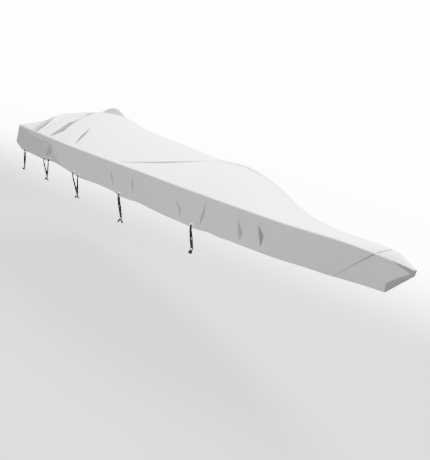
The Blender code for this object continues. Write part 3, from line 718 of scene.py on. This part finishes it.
def make_side_skirt(name, side, material):
    """Side skirt: a grid hung from the gunwale, its hem folded double, holed at each eyelet."""
    plain = np.arange(CORNER_RADIUS, BOW_SEAM_STATION, SKIRT_STEP)
    cells = np.array([eyelet + EYELET_CELL * way for eyelet in EYELET_STATIONS for way in (-1, 1)])
    clear = [s for s in plain if np.abs(s - cells).min() > LEAST_COLUMN
             and np.abs(s - np.array(EYELET_STATIONS)).min() > EYELET_CELL]
    ends = np.sort(np.concatenate((CORNER_STATIONS, clear, cells, (BOW_SEAM_STATION - SEAM_GAP,))))
    station, depth = squeeze_from_eyelets(*skirt_grid(ends))
    middle = skirt_point(station, depth, side, FINE_SKIRT_FOLDS)
    above = hem_depth(station) - depth
    holed = np.zeros((len(ends) - 1, depth.shape[1] - 1), dtype=bool)
    hole_column = SKIRT_UPPER_ROWS + HEM_HEIGHTS.index(HOLE_HEIGHT)
    holed[np.searchsorted(ends, EYELET_STATIONS) - 1, hole_column] = True
    uv = np.stack((station, above), axis=-1)
    sheet = cloth_shell(middle, hem_half(above), uv, skirt_marks(station, depth, side), holed)
    return closed_mesh(name, [sheet], material)


def skirt_marks(station, depth, side):
    """Where a side skirt has painted shade: in its folds, which port lacks, and at its aft end."""
    end = AFT_SHADE[-1].station
    inside = np.where(station < end, depth - through(AFT_SHADE, "depth", station), end - station)
    folds = fold_marks(SKIRT_SHADES if side < 0 else (), station, depth)
    return {**folds, **area_marks(inside, AFT_STRENGTH)}


def make_bow_skirt(material):
    """Bow skirt: one piece round the stem, hem folded double, both ends lapped on the side skirts."""
    turns = np.linspace(0.0, math.pi / 2, STEM_TURNS)
    one_side = BOW_SEAM_STATION + (LENGTH - BOW_SEAM_STATION) * np.sin(turns)
    sides = []
    for side, ends in ((-1, one_side), (1, one_side[:-1][::-1])):
        station, depth = skirt_grid(ends)
        sides.append((skirt_point(station, depth, side), station, depth, hem_depth(station) - depth))
    middle, station, depth, above = map(np.concatenate, zip(*sides))
    uv = uv_grid(run_along(middle[:, 0]), above)
    shells = [cloth_shell(middle, hem_half(above), uv, stem_marks(station, depth))]
    share = np.linspace(TAPE_START, 1.0, TAPE_POINTS)
    station = BOW_SEAM_STATION - BOW_SEAM_LEAN * share
    depth = share * hem_depth(station)
    # Painted shade on the seam tapes, strongest at the gunwale and fading towards the hem.
    strength = SEAM_SHADE_HEM + (SEAM_SHADE_TOP - SEAM_SHADE_HEM) * (1.0 - share[:, None])
    for side in (-1, 1):
        line = skirt_point(station, depth, side)
        ahead = unit(skirt_point(station + SEAM_NUDGE, depth, side) - line)
        normal = square_to(ahead, np.gradient(line, axis=0), 1, side)
        shells.append(tape_shell(line, normal, ahead, strength))
    return closed_mesh("cover_skirt_bow", shells, material)


def stem_marks(station, depth):
    """Painted shade on the front of the bow: a wedge under the gunwale, then a band that follows the stem
    down.
    """
    width = np.interp(depth / hem_depth(station), [row.share for row in STEM], [row.width for row in STEM])
    return area_only(width - (LENGTH - station), STEM_STRENGTH)


def make_transom_skirt(material):
    """Transom skirt: its upper edge on the arch of the top, slack in slow waves, its hem folded double."""
    share = np.linspace(-1.0, 1.0, TRANSOM_COLUMNS)[:, None]
    side = share * (TRANSOM_HALF - 2 * SEAM_GAP)
    arch = RIDGE[0].rise * (1.0 - np.abs(share) ** RIDGE[0].fullness)
    upper = EDGE_DROP - edge_height(0.0) - arch
    from_end = smooth_step((1.0 - np.abs(share)) / TRANSOM_CORNER_SHARE)
    lower = hem_depth(0.0) + (TRANSOM_HEM - hem_depth(0.0)) * from_end
    depth = skirt_rows(upper, lower, TRANSOM_UPPER_ROWS)
    wave = np.cos(2 * math.pi * TRANSOM_WAVES * share) * (1.0 - share**4)
    slack = TRANSOM_SLACK * np.sin(math.pi * (depth - upper) / (lower - upper)) * wave
    above = lower - depth
    # The transom skirt and its corner tapes have the aft end's painted shade all over.
    marks = area_only(1.0, AFT_STRENGTH)
    sheet = cloth_shell(to_part(-slack, side, -depth), hem_half(above), uv_grid(side[:, 0], above), marks)
    shells = [sheet]
    down = np.linspace(TRANSOM_TAPE_START, hem_depth(0.0), TRANSOM_TAPE_POINTS)
    for way in (-1, 1):
        line = to_part(-TRANSOM_TAPE_OUT, way * (TRANSOM_HALF - SEAM_GAP), -down)
        shells.append(tape_shell(line, np.array((-1.0, 0.0, 0.0)), np.array((0.0, 1.0, 0.0)), AFT_STRENGTH))
    return closed_mesh("cover_skirt_transom", shells, material)


# ---- eyelets, ties and beads
EYELET_TURNS = 48
EYELET_FLAT = 0.0015
EYELET_BARREL = 0.012
# Rolled flange of an eyelet, from its rim to the middle of its hole: distance from the axis, and height.
EYELET_FACE = table(
    "radius height",
    (0.0204, EYELET_FLAT), (0.0205, 0.0019), (0.0199, 0.0024), (0.0187, 0.0027), (0.0175, 0.0023),
    (0.0163, 0.0022), (0.0139, 0.0030), (0.0127, 0.0032), (0.0115, 0.0028), (0.0107, 0.0017), (0.0105, 0))
CORD_SIDES = 18
CORD_STEP = 0.0016
STRANDS = 3
LAY = 0.034
STRAND_RELIEF = 0.07
STRAND_POWER = 1.5
# Any direction that no tie starts along, to lay out the first ring of a cord by.
FIRST_WAY = (0.3, 0.2, 0.9)
CAP_SHARE = 0.6
CAP_LEAST = 0.05
# Radius at the crest of a strand: laid strands stand a little proud of the nominal size, and more on a
# tie's single legs, where neither eyelet nor bead squeezes them, and at its cut ends, which bush out. The
# swell starts at a distance from eyelet and bead and takes a length to come up.
CORD_CREST = 0.0085
LEG_CREST = 0.0112
LEG_START = 0.028
LEG_SWELL = 0.030
TAIL_CREST = 0.0106
TAIL_START = 0.014
TAIL_SWELL = 0.024
CORNER_POINTS = 9
BESIDE = (CORD + STRAND_GAP) / 2
BEAD_TURNS = 56
BEAD_SIDES = 20
BEAD_FLATNESS = 1.6
# Powers that square off a bead's section, across its wall and along its height.
BEAD_WALL_POWER = 0.6
BEAD_HEIGHT_POWER = 0.5
# Half of the turn, in radians, over which the front of a bead shows its own off-white, and the width of the
# edge beyond which its sides have painted shade.
BUTTON_TURN = 0.36
BUTTON_EDGE = 0.06


def eyelet_frame(station, side):
    """Turn and place of an eyelet: its centre, and directions forward along the hem, down and out."""
    depth = hem_depth(station) - EYELET_TO_HEM
    nudge = 0.004
    centre, ahead, below = skirt_point(np.array((station, station + nudge, station)),
                                       np.array((depth, depth, depth + nudge)), side)
    forward = unit(ahead - centre)
    out = unit(np.cross(below - centre, forward) * -side)
    down = np.cross(forward, out)
    return centre, forward, down if down[2] < 0 else -down, out


def make_eyelet(name, node, frame_of_eyelet, material):
    """Eyelet: a rolled flange on each face and the barrel between, one closed profile turned round."""
    centre, forward, down, out = frame_of_eyelet
    back = [(radius, -height) for radius, height in reversed(EYELET_FACE[:-1])]
    inner = ((EYELET_BARREL, -EYELET_FLAT), (EYELET_BARREL, EYELET_FLAT))
    profile = np.array((*EYELET_FACE, *back, *inner))
    turn = full_turn(EYELET_TURNS)
    spoke = np.cos(turn)[:, None] * forward + np.sin(turn)[:, None] * down
    rings = centre + profile[None, :, :1] * spoke[:, None, :] + profile[None, :, 1:] * out
    uv = uv_grid(np.arange(EYELET_TURNS) / EYELET_TURNS, profile[:, 0])
    piece = closed_mesh(name, [swept_shell(rings, uv, closed=True)], material)
    return in_place_of(node, piece)


def local_points(place, points):
    """Points given as forward, out and down from a place, in the part's frame."""
    centre, forward, down, out = place
    return centre + np.array(points) @ np.stack((forward, out, down))


def bead_place(frames, tie):
    """Middle of a tie's bead, with the directions forward, down and out there."""
    first, last = frames[tie.first_eyelet], frames[tie.last_eyelet]
    level = np.array((1.0, 1.0, 0.0))
    forward = unit((first[1] + last[1]) * level)
    out = (first[3] + last[3]) * level
    out = unit(out - forward * out.dot(forward))
    down = np.array((0.0, 0.0, -1.0))
    return (first[0] + last[0]) / 2 + tie.lean * forward + tie.drop * down, forward, down, out


def tie_corners(frames, tie):
    """Corners of a tie: up through its bead, through the eyelets, and down through the bead again."""
    first, last = frames[tie.first_eyelet], frames[tie.last_eyelet]
    half = BEAD_HEIGHT / 2 + BEND_REACH + TAIL_STRAIGHT
    bead = bead_place(frames, tie)
    aft_end = local_points(bead, ((tie.tail_aft, 0, half + tie.tail_aft_down), (-BESIDE, 0, half),
                                  (-BESIDE, 0, -half)))
    fore_end = local_points(bead, ((BESIDE, 0, -half), (BESIDE, 0, half),
                                   (tie.tail_fore, 0, half + tie.tail_fore_down)))
    if tie.first_eyelet == tie.last_eyelet:
        inside = [(along, -out, down) for along, out, down in reversed(TURN_THROUGH_ONE)]
        turn = local_points(first, (*TURN_THROUGH_ONE, *inside))
        spread = STRAND_SPREAD * bead[1] - STRAND_SPREAD / 2 * bead[3]
        over = np.vstack(((aft_end[-1] + turn[0]) / 2 - spread, turn,
                          (fore_end[0] + turn[-1]) / 2 + spread))
    else:
        mirrored = [(-along, out, down) for along, out, down in reversed(TURN_INTO_PAIR)]
        over = np.vstack((local_points(first, TURN_INTO_PAIR), local_points(last, mirrored)))
    return np.vstack((aft_end, over, fore_end))


def rounded_path(corners):
    """Path through corners, each corner a quadratic arc and the legs left straight, evenly spaced."""
    t = np.linspace(0.0, 1.0, CORNER_POINTS)[:, None]
    path = [corners[:1]]
    for before, corner, after in zip(corners[:-2], corners[1:-1], corners[2:]):
        start, end = (corner + leg * min(BEND_REACH / np.linalg.norm(leg), BEND_SHARE)
                      for leg in (before - corner, after - corner))
        path.append((1 - t) ** 2 * start + 2 * t * (1 - t) * corner + t**2 * end)
    path = np.concatenate((*path, corners[-1:]))
    run = run_along(path)
    even = np.linspace(0.0, run[-1], int(run[-1] / CORD_STEP))
    return np.stack([np.interp(even, run, values) for values in path.T], axis=1)


def turning_frames(path):
    """Two directions square to a path at each point, carried along it without twist."""
    tangent = unit(np.gradient(path, axis=0))
    side = np.empty_like(path)
    side[0] = unit(np.cross(tangent[0], FIRST_WAY))
    for i in range(1, len(path)):
        side[i] = unit(side[i - 1] - tangent[i] * side[i - 1].dot(tangent[i]))
    return side, np.cross(tangent, side)


def laid_cord(path, radius):
    """Laid cord: a ring whose radius bulges once for each strand, turned along the path by the lay."""
    side, other = (way[:, None, :] for way in turning_frames(path))
    run = run_along(path)
    angle = full_turn(CORD_SIDES)
    phase = STRANDS / 2 * (angle[None, :] - 2 * math.pi * run[:, None] / LAY)
    bulge = 1.0 - STRAND_RELIEF * (1.0 - np.abs(np.sin(phase))) ** STRAND_POWER
    from_end = np.clip(np.minimum(run, run[-1] - run) / (CAP_SHARE * radius), 0.0, 1.0)
    cap = np.sqrt(np.clip(1.0 - (1.0 - from_end) ** 2, CAP_LEAST, 1.0))
    spoke = np.cos(angle)[None, :, None] * side + np.sin(angle)[None, :, None] * other
    rings = path[:, None, :] + ((radius * cap)[:, None] * bulge)[..., None] * spoke
    return swept_shell(rings, uv_grid(run, angle / (2 * math.pi)))


def crest_radius(path, frames, tie):
    """Radius at the crest of the strands: fuller on the legs of a tie through two eyelets, and on tails."""
    bead = bead_place(frames, tie)[0]
    squeezed = (bead, frames[tie.first_eyelet][0], frames[tie.last_eyelet][0])
    away = np.min([np.linalg.norm(path - place, axis=1) for place in squeezed], axis=0)
    hanging = path[:, 2] > bead[2]
    single = tie.first_eyelet != tie.last_eyelet
    legs = smooth_step((away - LEG_START) / LEG_SWELL) * hanging * single
    tails = smooth_step((away - TAIL_START) / TAIL_SWELL) * ~hanging
    return CORD_CREST + (LEG_CREST - CORD_CREST) * legs + (TAIL_CREST - CORD_CREST) * tails


def make_tie(name, node, frames, tie, material):
    """One tie: a limp laid cord whose two bare ends hang below its bead."""
    path = rounded_path(tie_corners(frames, tie))
    piece = closed_mesh(name, [laid_cord(path, crest_radius(path, frames, tie))], material)
    in_place_of(node, piece)


def make_bead(name, node, place, material):
    """Flat bead: a rounded section carried round a slot that both strands of the tie pass through."""
    middle, forward, down, out = place
    turn = full_turn(BEAD_TURNS)
    push = np.clip(np.cos(turn) * BEAD_FLATNESS, -1.0, 1.0) * BESIDE
    around = full_turn(BEAD_SIDES)
    bulge = np.sign(np.cos(around)) * np.abs(np.cos(around)) ** BEAD_WALL_POWER * BEAD_WALL / 2
    rise = np.sign(np.sin(around)) * np.abs(np.sin(around)) ** BEAD_HEIGHT_POWER * BEAD_HEIGHT / 2
    radius = CORD / 2 + BEAD_CLEARANCE + BEAD_WALL / 2 + bulge
    x = push[:, None] + radius[None, :] * np.cos(turn)[:, None]
    y = radius[None, :] * np.sin(turn)[:, None]
    rings = middle + x[..., None] * forward + y[..., None] * out + rise[None, :, None] * down
    shell = swept_shell(rings, uv_grid(turn, around), closed=True)
    return in_place_of(node, closed_mesh(name, [shell], material))


# ---- materials
# Colours of each material. Cloth: clean, and the grey of its painted shade, dust, weave and stitches.
# Others: plain and worn. The bead's side colours are painted shade round its sides, plain and worn.
TOP_COLOURS = ((0.86, 0.86, 0.875), (0.085, 0.080, 0.085))
SKIRT_COLOURS = ((0.36, 0.363, 0.363), (0.115, 0.112, 0.113))
METAL_COLOURS = ((0.92, 0.92, 0.91), (0.76, 0.76, 0.74))
CORD_COLOURS = ((0.0055, 0.0055, 0.0060), (0.022, 0.021, 0.022))
BUTTON_COLOURS = ((0.90, 0.90, 0.88), (0.66, 0.66, 0.64))
BEAD_SIDE_SHADE_COLOURS = ((0.020, 0.020, 0.021), (0.060, 0.060, 0.060))
FLOOR_COLOURS = ((0.15, 0.15, 0.15), (0.17, 0.17, 0.17))
WHITE = (1.0, 1.0, 1.0)
# Noises by name: how many lumps to a metre, how detailed and how rough.
NOISES = {row.name: row for row in table(
    "name scale detail roughness",
    ("cloth_stains", 1.6, 3.0, 0.55), ("cloth_wrinkles", 14.0, 4.0, 0.6), ("cloth_grain", 240.0, 2.0, 0.6),
    ("metal_dullness", 90.0, 3.0, 0.6), ("cord_fuzz", 900.0, 2.0, 0.6), ("cord_rubbing", 60.0, 3.0, 0.6),
    ("bead_specks", 420.0, 2.0, 0.6), ("bead_scuffs", 120.0, 4.0, 0.65), ("floor_tone", 0.7, 2.0, 0.5))}
# Heights of the finest relief, which bump nodes show, and the lengths after which weave and stitch repeat.
WRINKLE_DEPTH = 0.0022
WEAVE_DEPTH = 0.00018
THREAD_DEPTH = 0.0006
RING_DEPTH = 0.00005
YARN_DEPTH = 0.00018
SCUFF_DEPTH = 0.00012
WEAVE = 0.0022
STITCH = 0.009
# Radians of the metal's turning marks for each metre of radius, and yarns for each strand of a cord.
RING_TURN = 9000.0
YARNS = 4.0
# Where the rows of stitches run: lengths from the gunwale in the top's welt, and above the hem in a skirt.
TOP_SEAMS = (0.0045, 0.0062)
SKIRT_SEAMS = (0.0045, 0.0245)


class Wire:
    """A number, colour or vector socket; the usual signs between two of them add Math nodes."""

    def __init__(self, shop, socket):
        self.shop = shop
        self.socket = socket

    def math(self, operation, *others):
        """Math node of this value and up to two more."""
        return self.shop.node("ShaderNodeMath", {"operation": operation}, (self, *others))

    def __add__(self, other):
        return self.math("ADD", other)

    def __sub__(self, other):
        return self.math("SUBTRACT", other)

    def __rsub__(self, other):
        return self.math("MULTIPLY_ADD", -1.0, other)

    def __mul__(self, other):
        return self.math("MULTIPLY", other)

    def __truediv__(self, other):
        return self.math("DIVIDE", other)

    __radd__ = __add__
    __rmul__ = __mul__

    def wave(self):
        """Sine."""
        return self.math("SINE")

    def size(self):
        """Absolute value."""
        return self.math("ABSOLUTE")

    def step(self, low, high):
        """Smooth rise from 0 at low to 1 at high."""
        return self.shop.node("ShaderNodeMapRange", {"interpolation_type": "SMOOTHSTEP"},
                              {"Value": self, "From Min": low, "From Max": high})


class Shop:
    """A node tree, and the ways to add nodes to it."""

    def __init__(self, owner):
        owner.use_nodes = True
        self.owner = owner
        self.tree = owner.node_tree

    def node(self, kind, settings=None, inputs=(), output=0):
        """Node of a type: its settings are set first, then its sockets' values or links."""
        node = self.tree.nodes.new(kind)
        for key, value in (settings or {}).items():
            setattr(node, key, value)
        pairs = inputs.items() if isinstance(inputs, dict) else enumerate(inputs)
        for key, value in pairs:
            self.feed(node.inputs[key], value)
        return Wire(self, node.outputs[output])

    def feed(self, socket, value):
        """Put a value or a link into a socket."""
        if isinstance(value, Wire):
            self.tree.links.new(value.socket, socket)
        elif isinstance(value, tuple) and len(value) == 3 and socket.type == "RGBA":
            socket.default_value = (*value, 1.0)
        else:
            socket.default_value = value

    def noise(self, name):
        """One of the noises of the table, on Object coordinates."""
        row = NOISES[name]
        at = self.node("ShaderNodeTexCoord", output="Object")
        kind = {"Scale": row.scale, "Detail": row.detail, "Roughness": row.roughness}
        return self.node("ShaderNodeTexNoise", {}, {"Vector": at, **kind})

    def mix(self, amount, first, second):
        """Colour between two, by an amount from 0 to 1."""
        return self.node("ShaderNodeMix", {"data_type": "RGBA"}, {"Factor": amount, 6: first, 7: second}, 2)

    def parts(self, vector):
        """The first two numbers of a vector."""
        return [self.node("ShaderNodeSeparateXYZ", {}, (vector,), axis) for axis in (0, 1)]

    def flat_uv(self):
        """The two lengths of the piece's own UV map."""
        return self.parts(self.node("ShaderNodeUVMap", {"uv_map": "cloth"}))

    def mark(self, name):
        """An attribute of the piece's points."""
        return self.node("ShaderNodeAttribute", {"attribute_name": name}, output="Fac")

    def bump(self, height, distance, strength=1.0, normal=None):
        """Bump of a height in units of a distance in metres, on top of an earlier normal."""
        inputs = {"Height": height, "Distance": distance, "Strength": strength}
        return self.node("ShaderNodeBump", {}, {**inputs, "Normal": normal} if normal else inputs)

    def finish(self, **sockets):
        """Set the shader's sockets, named with _ for a space, and give the material."""
        for key, value in sockets.items():
            self.feed(self.tree.nodes["Principled BSDF"].inputs[key.replace("_", " ")], value)
        return self.owner


def cloth_material(name, colours, seams, roughness):
    """Coated cloth: a plain weave, soft wrinkles, patches of painted shade by the points' marks, a little
    dust, and stitched seams.
    """
    shop = Shop(bpy.data.materials.new(name))
    u, v = shop.flat_uv()
    turn = 2 * math.pi / WEAVE
    weave = (u * turn).wave() * (v * turn).wave()
    broad, fine, grain = (shop.noise(f"cloth_{kind}") for kind in ("stains", "wrinkles", "grain"))
    dash = (u * (2 * math.pi / STITCH)).wave().step(-0.35, 0.05)
    rows = [1.0 - (v.size() - place).size().step(0.0006, 0.0014) for place in seams]
    thread = (rows[0] + rows[1]) * dash
    # Painted shade from the points' marks: in the folds, and over the broad stretches.
    in_fold, in_area = ((shop.mark(f"{kind}_inside") / SHADE_RIM + 0.5).step(0.0, 1.0)
                        * shop.mark(f"{kind}_strength") for kind in ("fold", "area"))
    shade = in_fold.math("MAXIMUM", in_area)
    dust = broad.step(0.35, 0.75) * 0.020 + fine.step(0.45, 0.8) * 0.012
    colour, greyed = colours
    for amount in (shade + (fine - 0.5) * 0.10 * shade.step(0.0, 0.2), dust, (weave * 0.5 + 0.5) * 0.02,
                   thread * 0.20):
        colour = shop.mix(amount, colour, greyed)
    wrinkle = shop.bump(fine, WRINKLE_DEPTH, 0.35)
    woven = shop.bump(weave + grain * 0.8, WEAVE_DEPTH, 0.5, wrinkle)
    return shop.finish(Base_Color=colour, Roughness=grain * 0.10 + (roughness - 0.05) + shade * 0.03,
                       Normal=shop.bump(thread, THREAD_DEPTH, 0.7, woven), Sheen_Weight=0.12,
                       Sheen_Roughness=0.6, Specular_IOR_Level=0.30)


def metal_material(name):
    """Plated metal: faint turning marks, dulled where hands and rain reach it."""
    shop = Shop(bpy.data.materials.new(name))
    _, radius = shop.flat_uv()
    rings = (radius * RING_TURN).wave() * 0.5 + 0.5
    dull = shop.noise("metal_dullness").step(0.40, 0.70)
    return shop.finish(Base_Color=shop.mix(dull, *METAL_COLOURS), Metallic=0.25,
                       Roughness=dull * 0.22 + rings * 0.05 + 0.24,
                       Normal=shop.bump(rings, RING_DEPTH, 0.4))


def cord_material(name):
    """Black laid cord: fine yarns that run along each strand, a little lighter where rubbed."""
    shop = Shop(bpy.data.materials.new(name))
    run, around = shop.flat_uv()
    yarn = ((run * (2 * math.pi / LAY) * STRANDS - around * (2 * math.pi * STRANDS)) * YARNS).wave()
    fuzz = shop.noise("cord_fuzz")
    rubbed = shop.noise("cord_rubbing").step(0.50, 0.80)
    return shop.finish(Base_Color=shop.mix(rubbed * 0.6 + yarn * 0.1 + 0.1, *CORD_COLOURS),
                       Roughness=fuzz * 0.12 + 0.70, Normal=shop.bump(yarn + fuzz, YARN_DEPTH, 0.6),
                       Sheen_Weight=0.10, Specular_IOR_Level=0.25)


def bead_material(name):
    """Moulded bead: off-white in the middle of its front, with near-black painted shade round its sides and
    ends.
    """
    shop = Shop(bpy.data.materials.new(name))
    turn, _ = shop.flat_uv()
    speck = shop.noise("bead_specks").step(0.62, 0.72)
    scuff = shop.noise("bead_scuffs")
    light = shop.mix(speck * 0.25 + scuff * 0.10, *BUTTON_COLOURS)
    painted_side_shade = shop.mix(speck * 0.5 + scuff * 0.3, *BEAD_SIDE_SHADE_COLOURS)
    from_front = (turn - math.pi / 2).size()
    colour = shop.mix(from_front.step(BUTTON_TURN, BUTTON_TURN + BUTTON_EDGE), light, painted_side_shade)
    return shop.finish(Base_Color=colour, Roughness=scuff * 0.20 + 0.34,
                       Normal=shop.bump(scuff, SCUFF_DEPTH, 0.5))


def floor_material(name):
    """Pale studio floor whose painted glow brightens with distance until it meets the backdrop without an
    edge.
    """
    shop = Shop(bpy.data.materials.new(name))
    tone = shop.noise("floor_tone").step(0.2, 0.8)
    x, y = shop.parts(shop.node("ShaderNodeTexCoord", output="Object"))
    far = (x * FLOOR_WAY[0] + y * FLOOR_WAY[1]).step(FLOOR_NEAR, FLOOR_FAR)
    return shop.finish(Base_Color=shop.mix(tone, *FLOOR_COLOURS), Roughness=0.9,
                       Emission_Color=shop.mix(far, (NEAR_GLOW,) * 3, WHITE),
                       Emission_Strength=FLOOR_GLOW, Specular_IOR_Level=0.1)


# ---- stage, light and camera
FLOOR_HEIGHT = -2.05
FLOOR_HALF = 30.0
# The floor's glow rises between two distances along a direction in plan, given as its x and y.
FLOOR_WAY = (-0.32, 1.05)
FLOOR_NEAR = 2.5
FLOOR_FAR = 13.0
FLOOR_GLOW = 13.0
NEAR_GLOW = 0.12
BACKDROP_GLOW = 18.0
# The air's light rises from the ground's to the sky's between two heights of a view's direction.
GROUND_LIGHT = 0.88
SKY_LIGHT = 1.48
AIR_LOW = -0.3
AIR_HIGH = 0.8
CAMERA_PLACE = (3.6988, -3.6013, 0.2987)
CAMERA_AZIMUTH = 41.2586
CAMERA_PITCH = 12.1085
CAMERA_ROLL = 15.5327
CAMERA_LENS = 36.22
LIGHTS = table(
    "name place aims_at width height power",
    ("key", (0.6, 1.4, 6.0), (0.0, 0.0, -0.3), 6.0, 3.0, 2900.0),
    ("front", (2.8, -6.6, 0.8), (0.5, -0.8, -0.5), 8.0, 3.0, 395.0))


def make_floor():
    """Large flat floor under the place where the boat would stand."""
    mesh = bpy.data.meshes.new("studio_floor")
    ways = ((-1, -1), (1, -1), (1, 1), (-1, 1))
    mesh.from_pydata([(x * FLOOR_HALF, y * FLOOR_HALF, FLOOR_HEIGHT) for x, y in ways], [], [(0, 1, 2, 3)])
    mesh.materials.append(floor_material("studio_floor_white"))
    floor = add_object("studio_floor", mesh)
    floor.visible_diffuse = False


def make_air():
    """Even white surroundings, a little brighter above, and a bright backdrop for the camera alone."""
    world = bpy.data.worlds.new("studio_air")
    shop = Shop(world)
    view = shop.node("ShaderNodeTexCoord", output="Generated")
    height = shop.node("ShaderNodeSeparateXYZ", {}, (view,), "Z")
    rise = {"From Min": AIR_LOW, "From Max": AIR_HIGH, "To Min": GROUND_LIGHT, "To Max": SKY_LIGHT}
    strength = shop.node("ShaderNodeMapRange", {}, {"Value": height, **rise})
    light = shop.node("ShaderNodeBackground", {}, (WHITE, strength))
    seen = shop.node("ShaderNodeBackground", {}, {"Strength": BACKDROP_GLOW})
    ray = shop.node("ShaderNodeLightPath", output="Is Camera Ray")
    choice = shop.node("ShaderNodeMixShader", {}, (ray, light, seen))
    shop.feed(shop.tree.nodes["World Output"].inputs["Surface"], choice)
    bpy.context.scene.world = world


def make_lights():
    """Soft area lights from the table."""
    for row in LIGHTS:
        lamp = bpy.data.lights.new(row.name, "AREA")
        lamp.shape = "RECTANGLE"
        lamp.size = row.width
        lamp.size_y = row.height
        lamp.energy = row.power
        light = add_object(row.name, lamp)
        light.location = row.place
        light.rotation_euler = (Vector(row.aims_at) - Vector(row.place)).to_track_quat("-Z", "Y").to_euler()


def make_camera():
    """Camera off the starboard bow, tipped down and rolled: the boat lies bow down in the frame."""
    azimuth, pitch, roll = np.radians((CAMERA_AZIMUTH, CAMERA_PITCH, CAMERA_ROLL))
    level = np.array((math.cos(azimuth), math.sin(azimuth), 0.0))
    ahead = np.array((-math.sin(azimuth) * math.cos(pitch), math.cos(azimuth) * math.cos(pitch),
                      -math.sin(pitch)))
    upright = np.cross(level, ahead)
    right = level * math.cos(roll) + upright * math.sin(roll)
    up = upright * math.cos(roll) - level * math.sin(roll)
    lens = bpy.data.cameras.new("camera")
    lens.lens = CAMERA_LENS
    lens.sensor_width = 36.0
    camera = add_object("camera", lens)
    turn = Matrix(np.column_stack((right, up, -ahead)).tolist()).to_4x4()
    camera.matrix_world = Matrix.Translation(CAMERA_PLACE) @ turn
    bpy.context.scene.camera = camera


# ---- the cover put together
SIDES = (("starboard", -1), ("port", 1))
TIE_LENGTHS = (0.56, 0.71, 0.72, 0.64, 0.56)
FLATS = {row.node: row for row in table(
    "node width length area",
    ("top_main", 2.05, 5.15, 8.2), ("top_bow", 0.30, 0.36, 0.055), ("skirt_starboard", 0.33, 5.10, 1.45),
    ("skirt_port", 0.33, 5.10, 1.45), ("skirt_transom", 0.34, 1.62, 0.47), ("skirt_bow", 0.29, 0.84, 0.20))}


def declare_sheet(piece):
    """Hide the CAD node that a sheet of the cover stands in for."""
    node = piece.name.replace("cover_", "")
    in_place_of(node, piece)


def main():
    make_camera()
    top_cloth = cloth_material("top_cloth_woven", TOP_COLOURS, TOP_SEAMS, 0.72)
    skirt_cloth = cloth_material("skirt_cloth_woven", SKIRT_COLOURS, SKIRT_SEAMS, 0.74)
    metal = metal_material("eyelet_metal_plated")
    cord = cord_material("tie_cord_laid")
    plastic = bead_material("bead_plastic_moulded")
    rings = {}
    for name, side in SIDES:
        frames = [eyelet_frame(station, side) for station in EYELET_STATIONS]
        for number, (tie, length) in enumerate(zip(TIES, TIE_LENGTHS), start=1):
            at = f"{name}_{number}"
            bead = make_bead(f"tie_bead_{at}", f"bead_{at}", bead_place(frames, tie), plastic)
            make_tie(f"tie_laid_{at}", f"tie_{at}", frames, tie, cord)
        rings[side] = [make_eyelet(f"eyelet_ring_{name}_{number}", f"eyelet_{name}_{number}", place, metal)
                       for number, place in enumerate(frames, start=1)]
    tops = (make_top_main(top_cloth), make_top_bow(top_cloth))
    skirts = [make_side_skirt(f"cover_skirt_{name}", side, skirt_cloth) for name, side in SIDES]
    ends = (make_transom_skirt(skirt_cloth), make_bow_skirt(skirt_cloth))
    for piece, on in zip((*tops, *skirts, *ends), ([], [], rings[-1], rings[1], [], [])):
        declare_sheet(piece)
    make_floor()
    make_air()
    make_lights()


main()
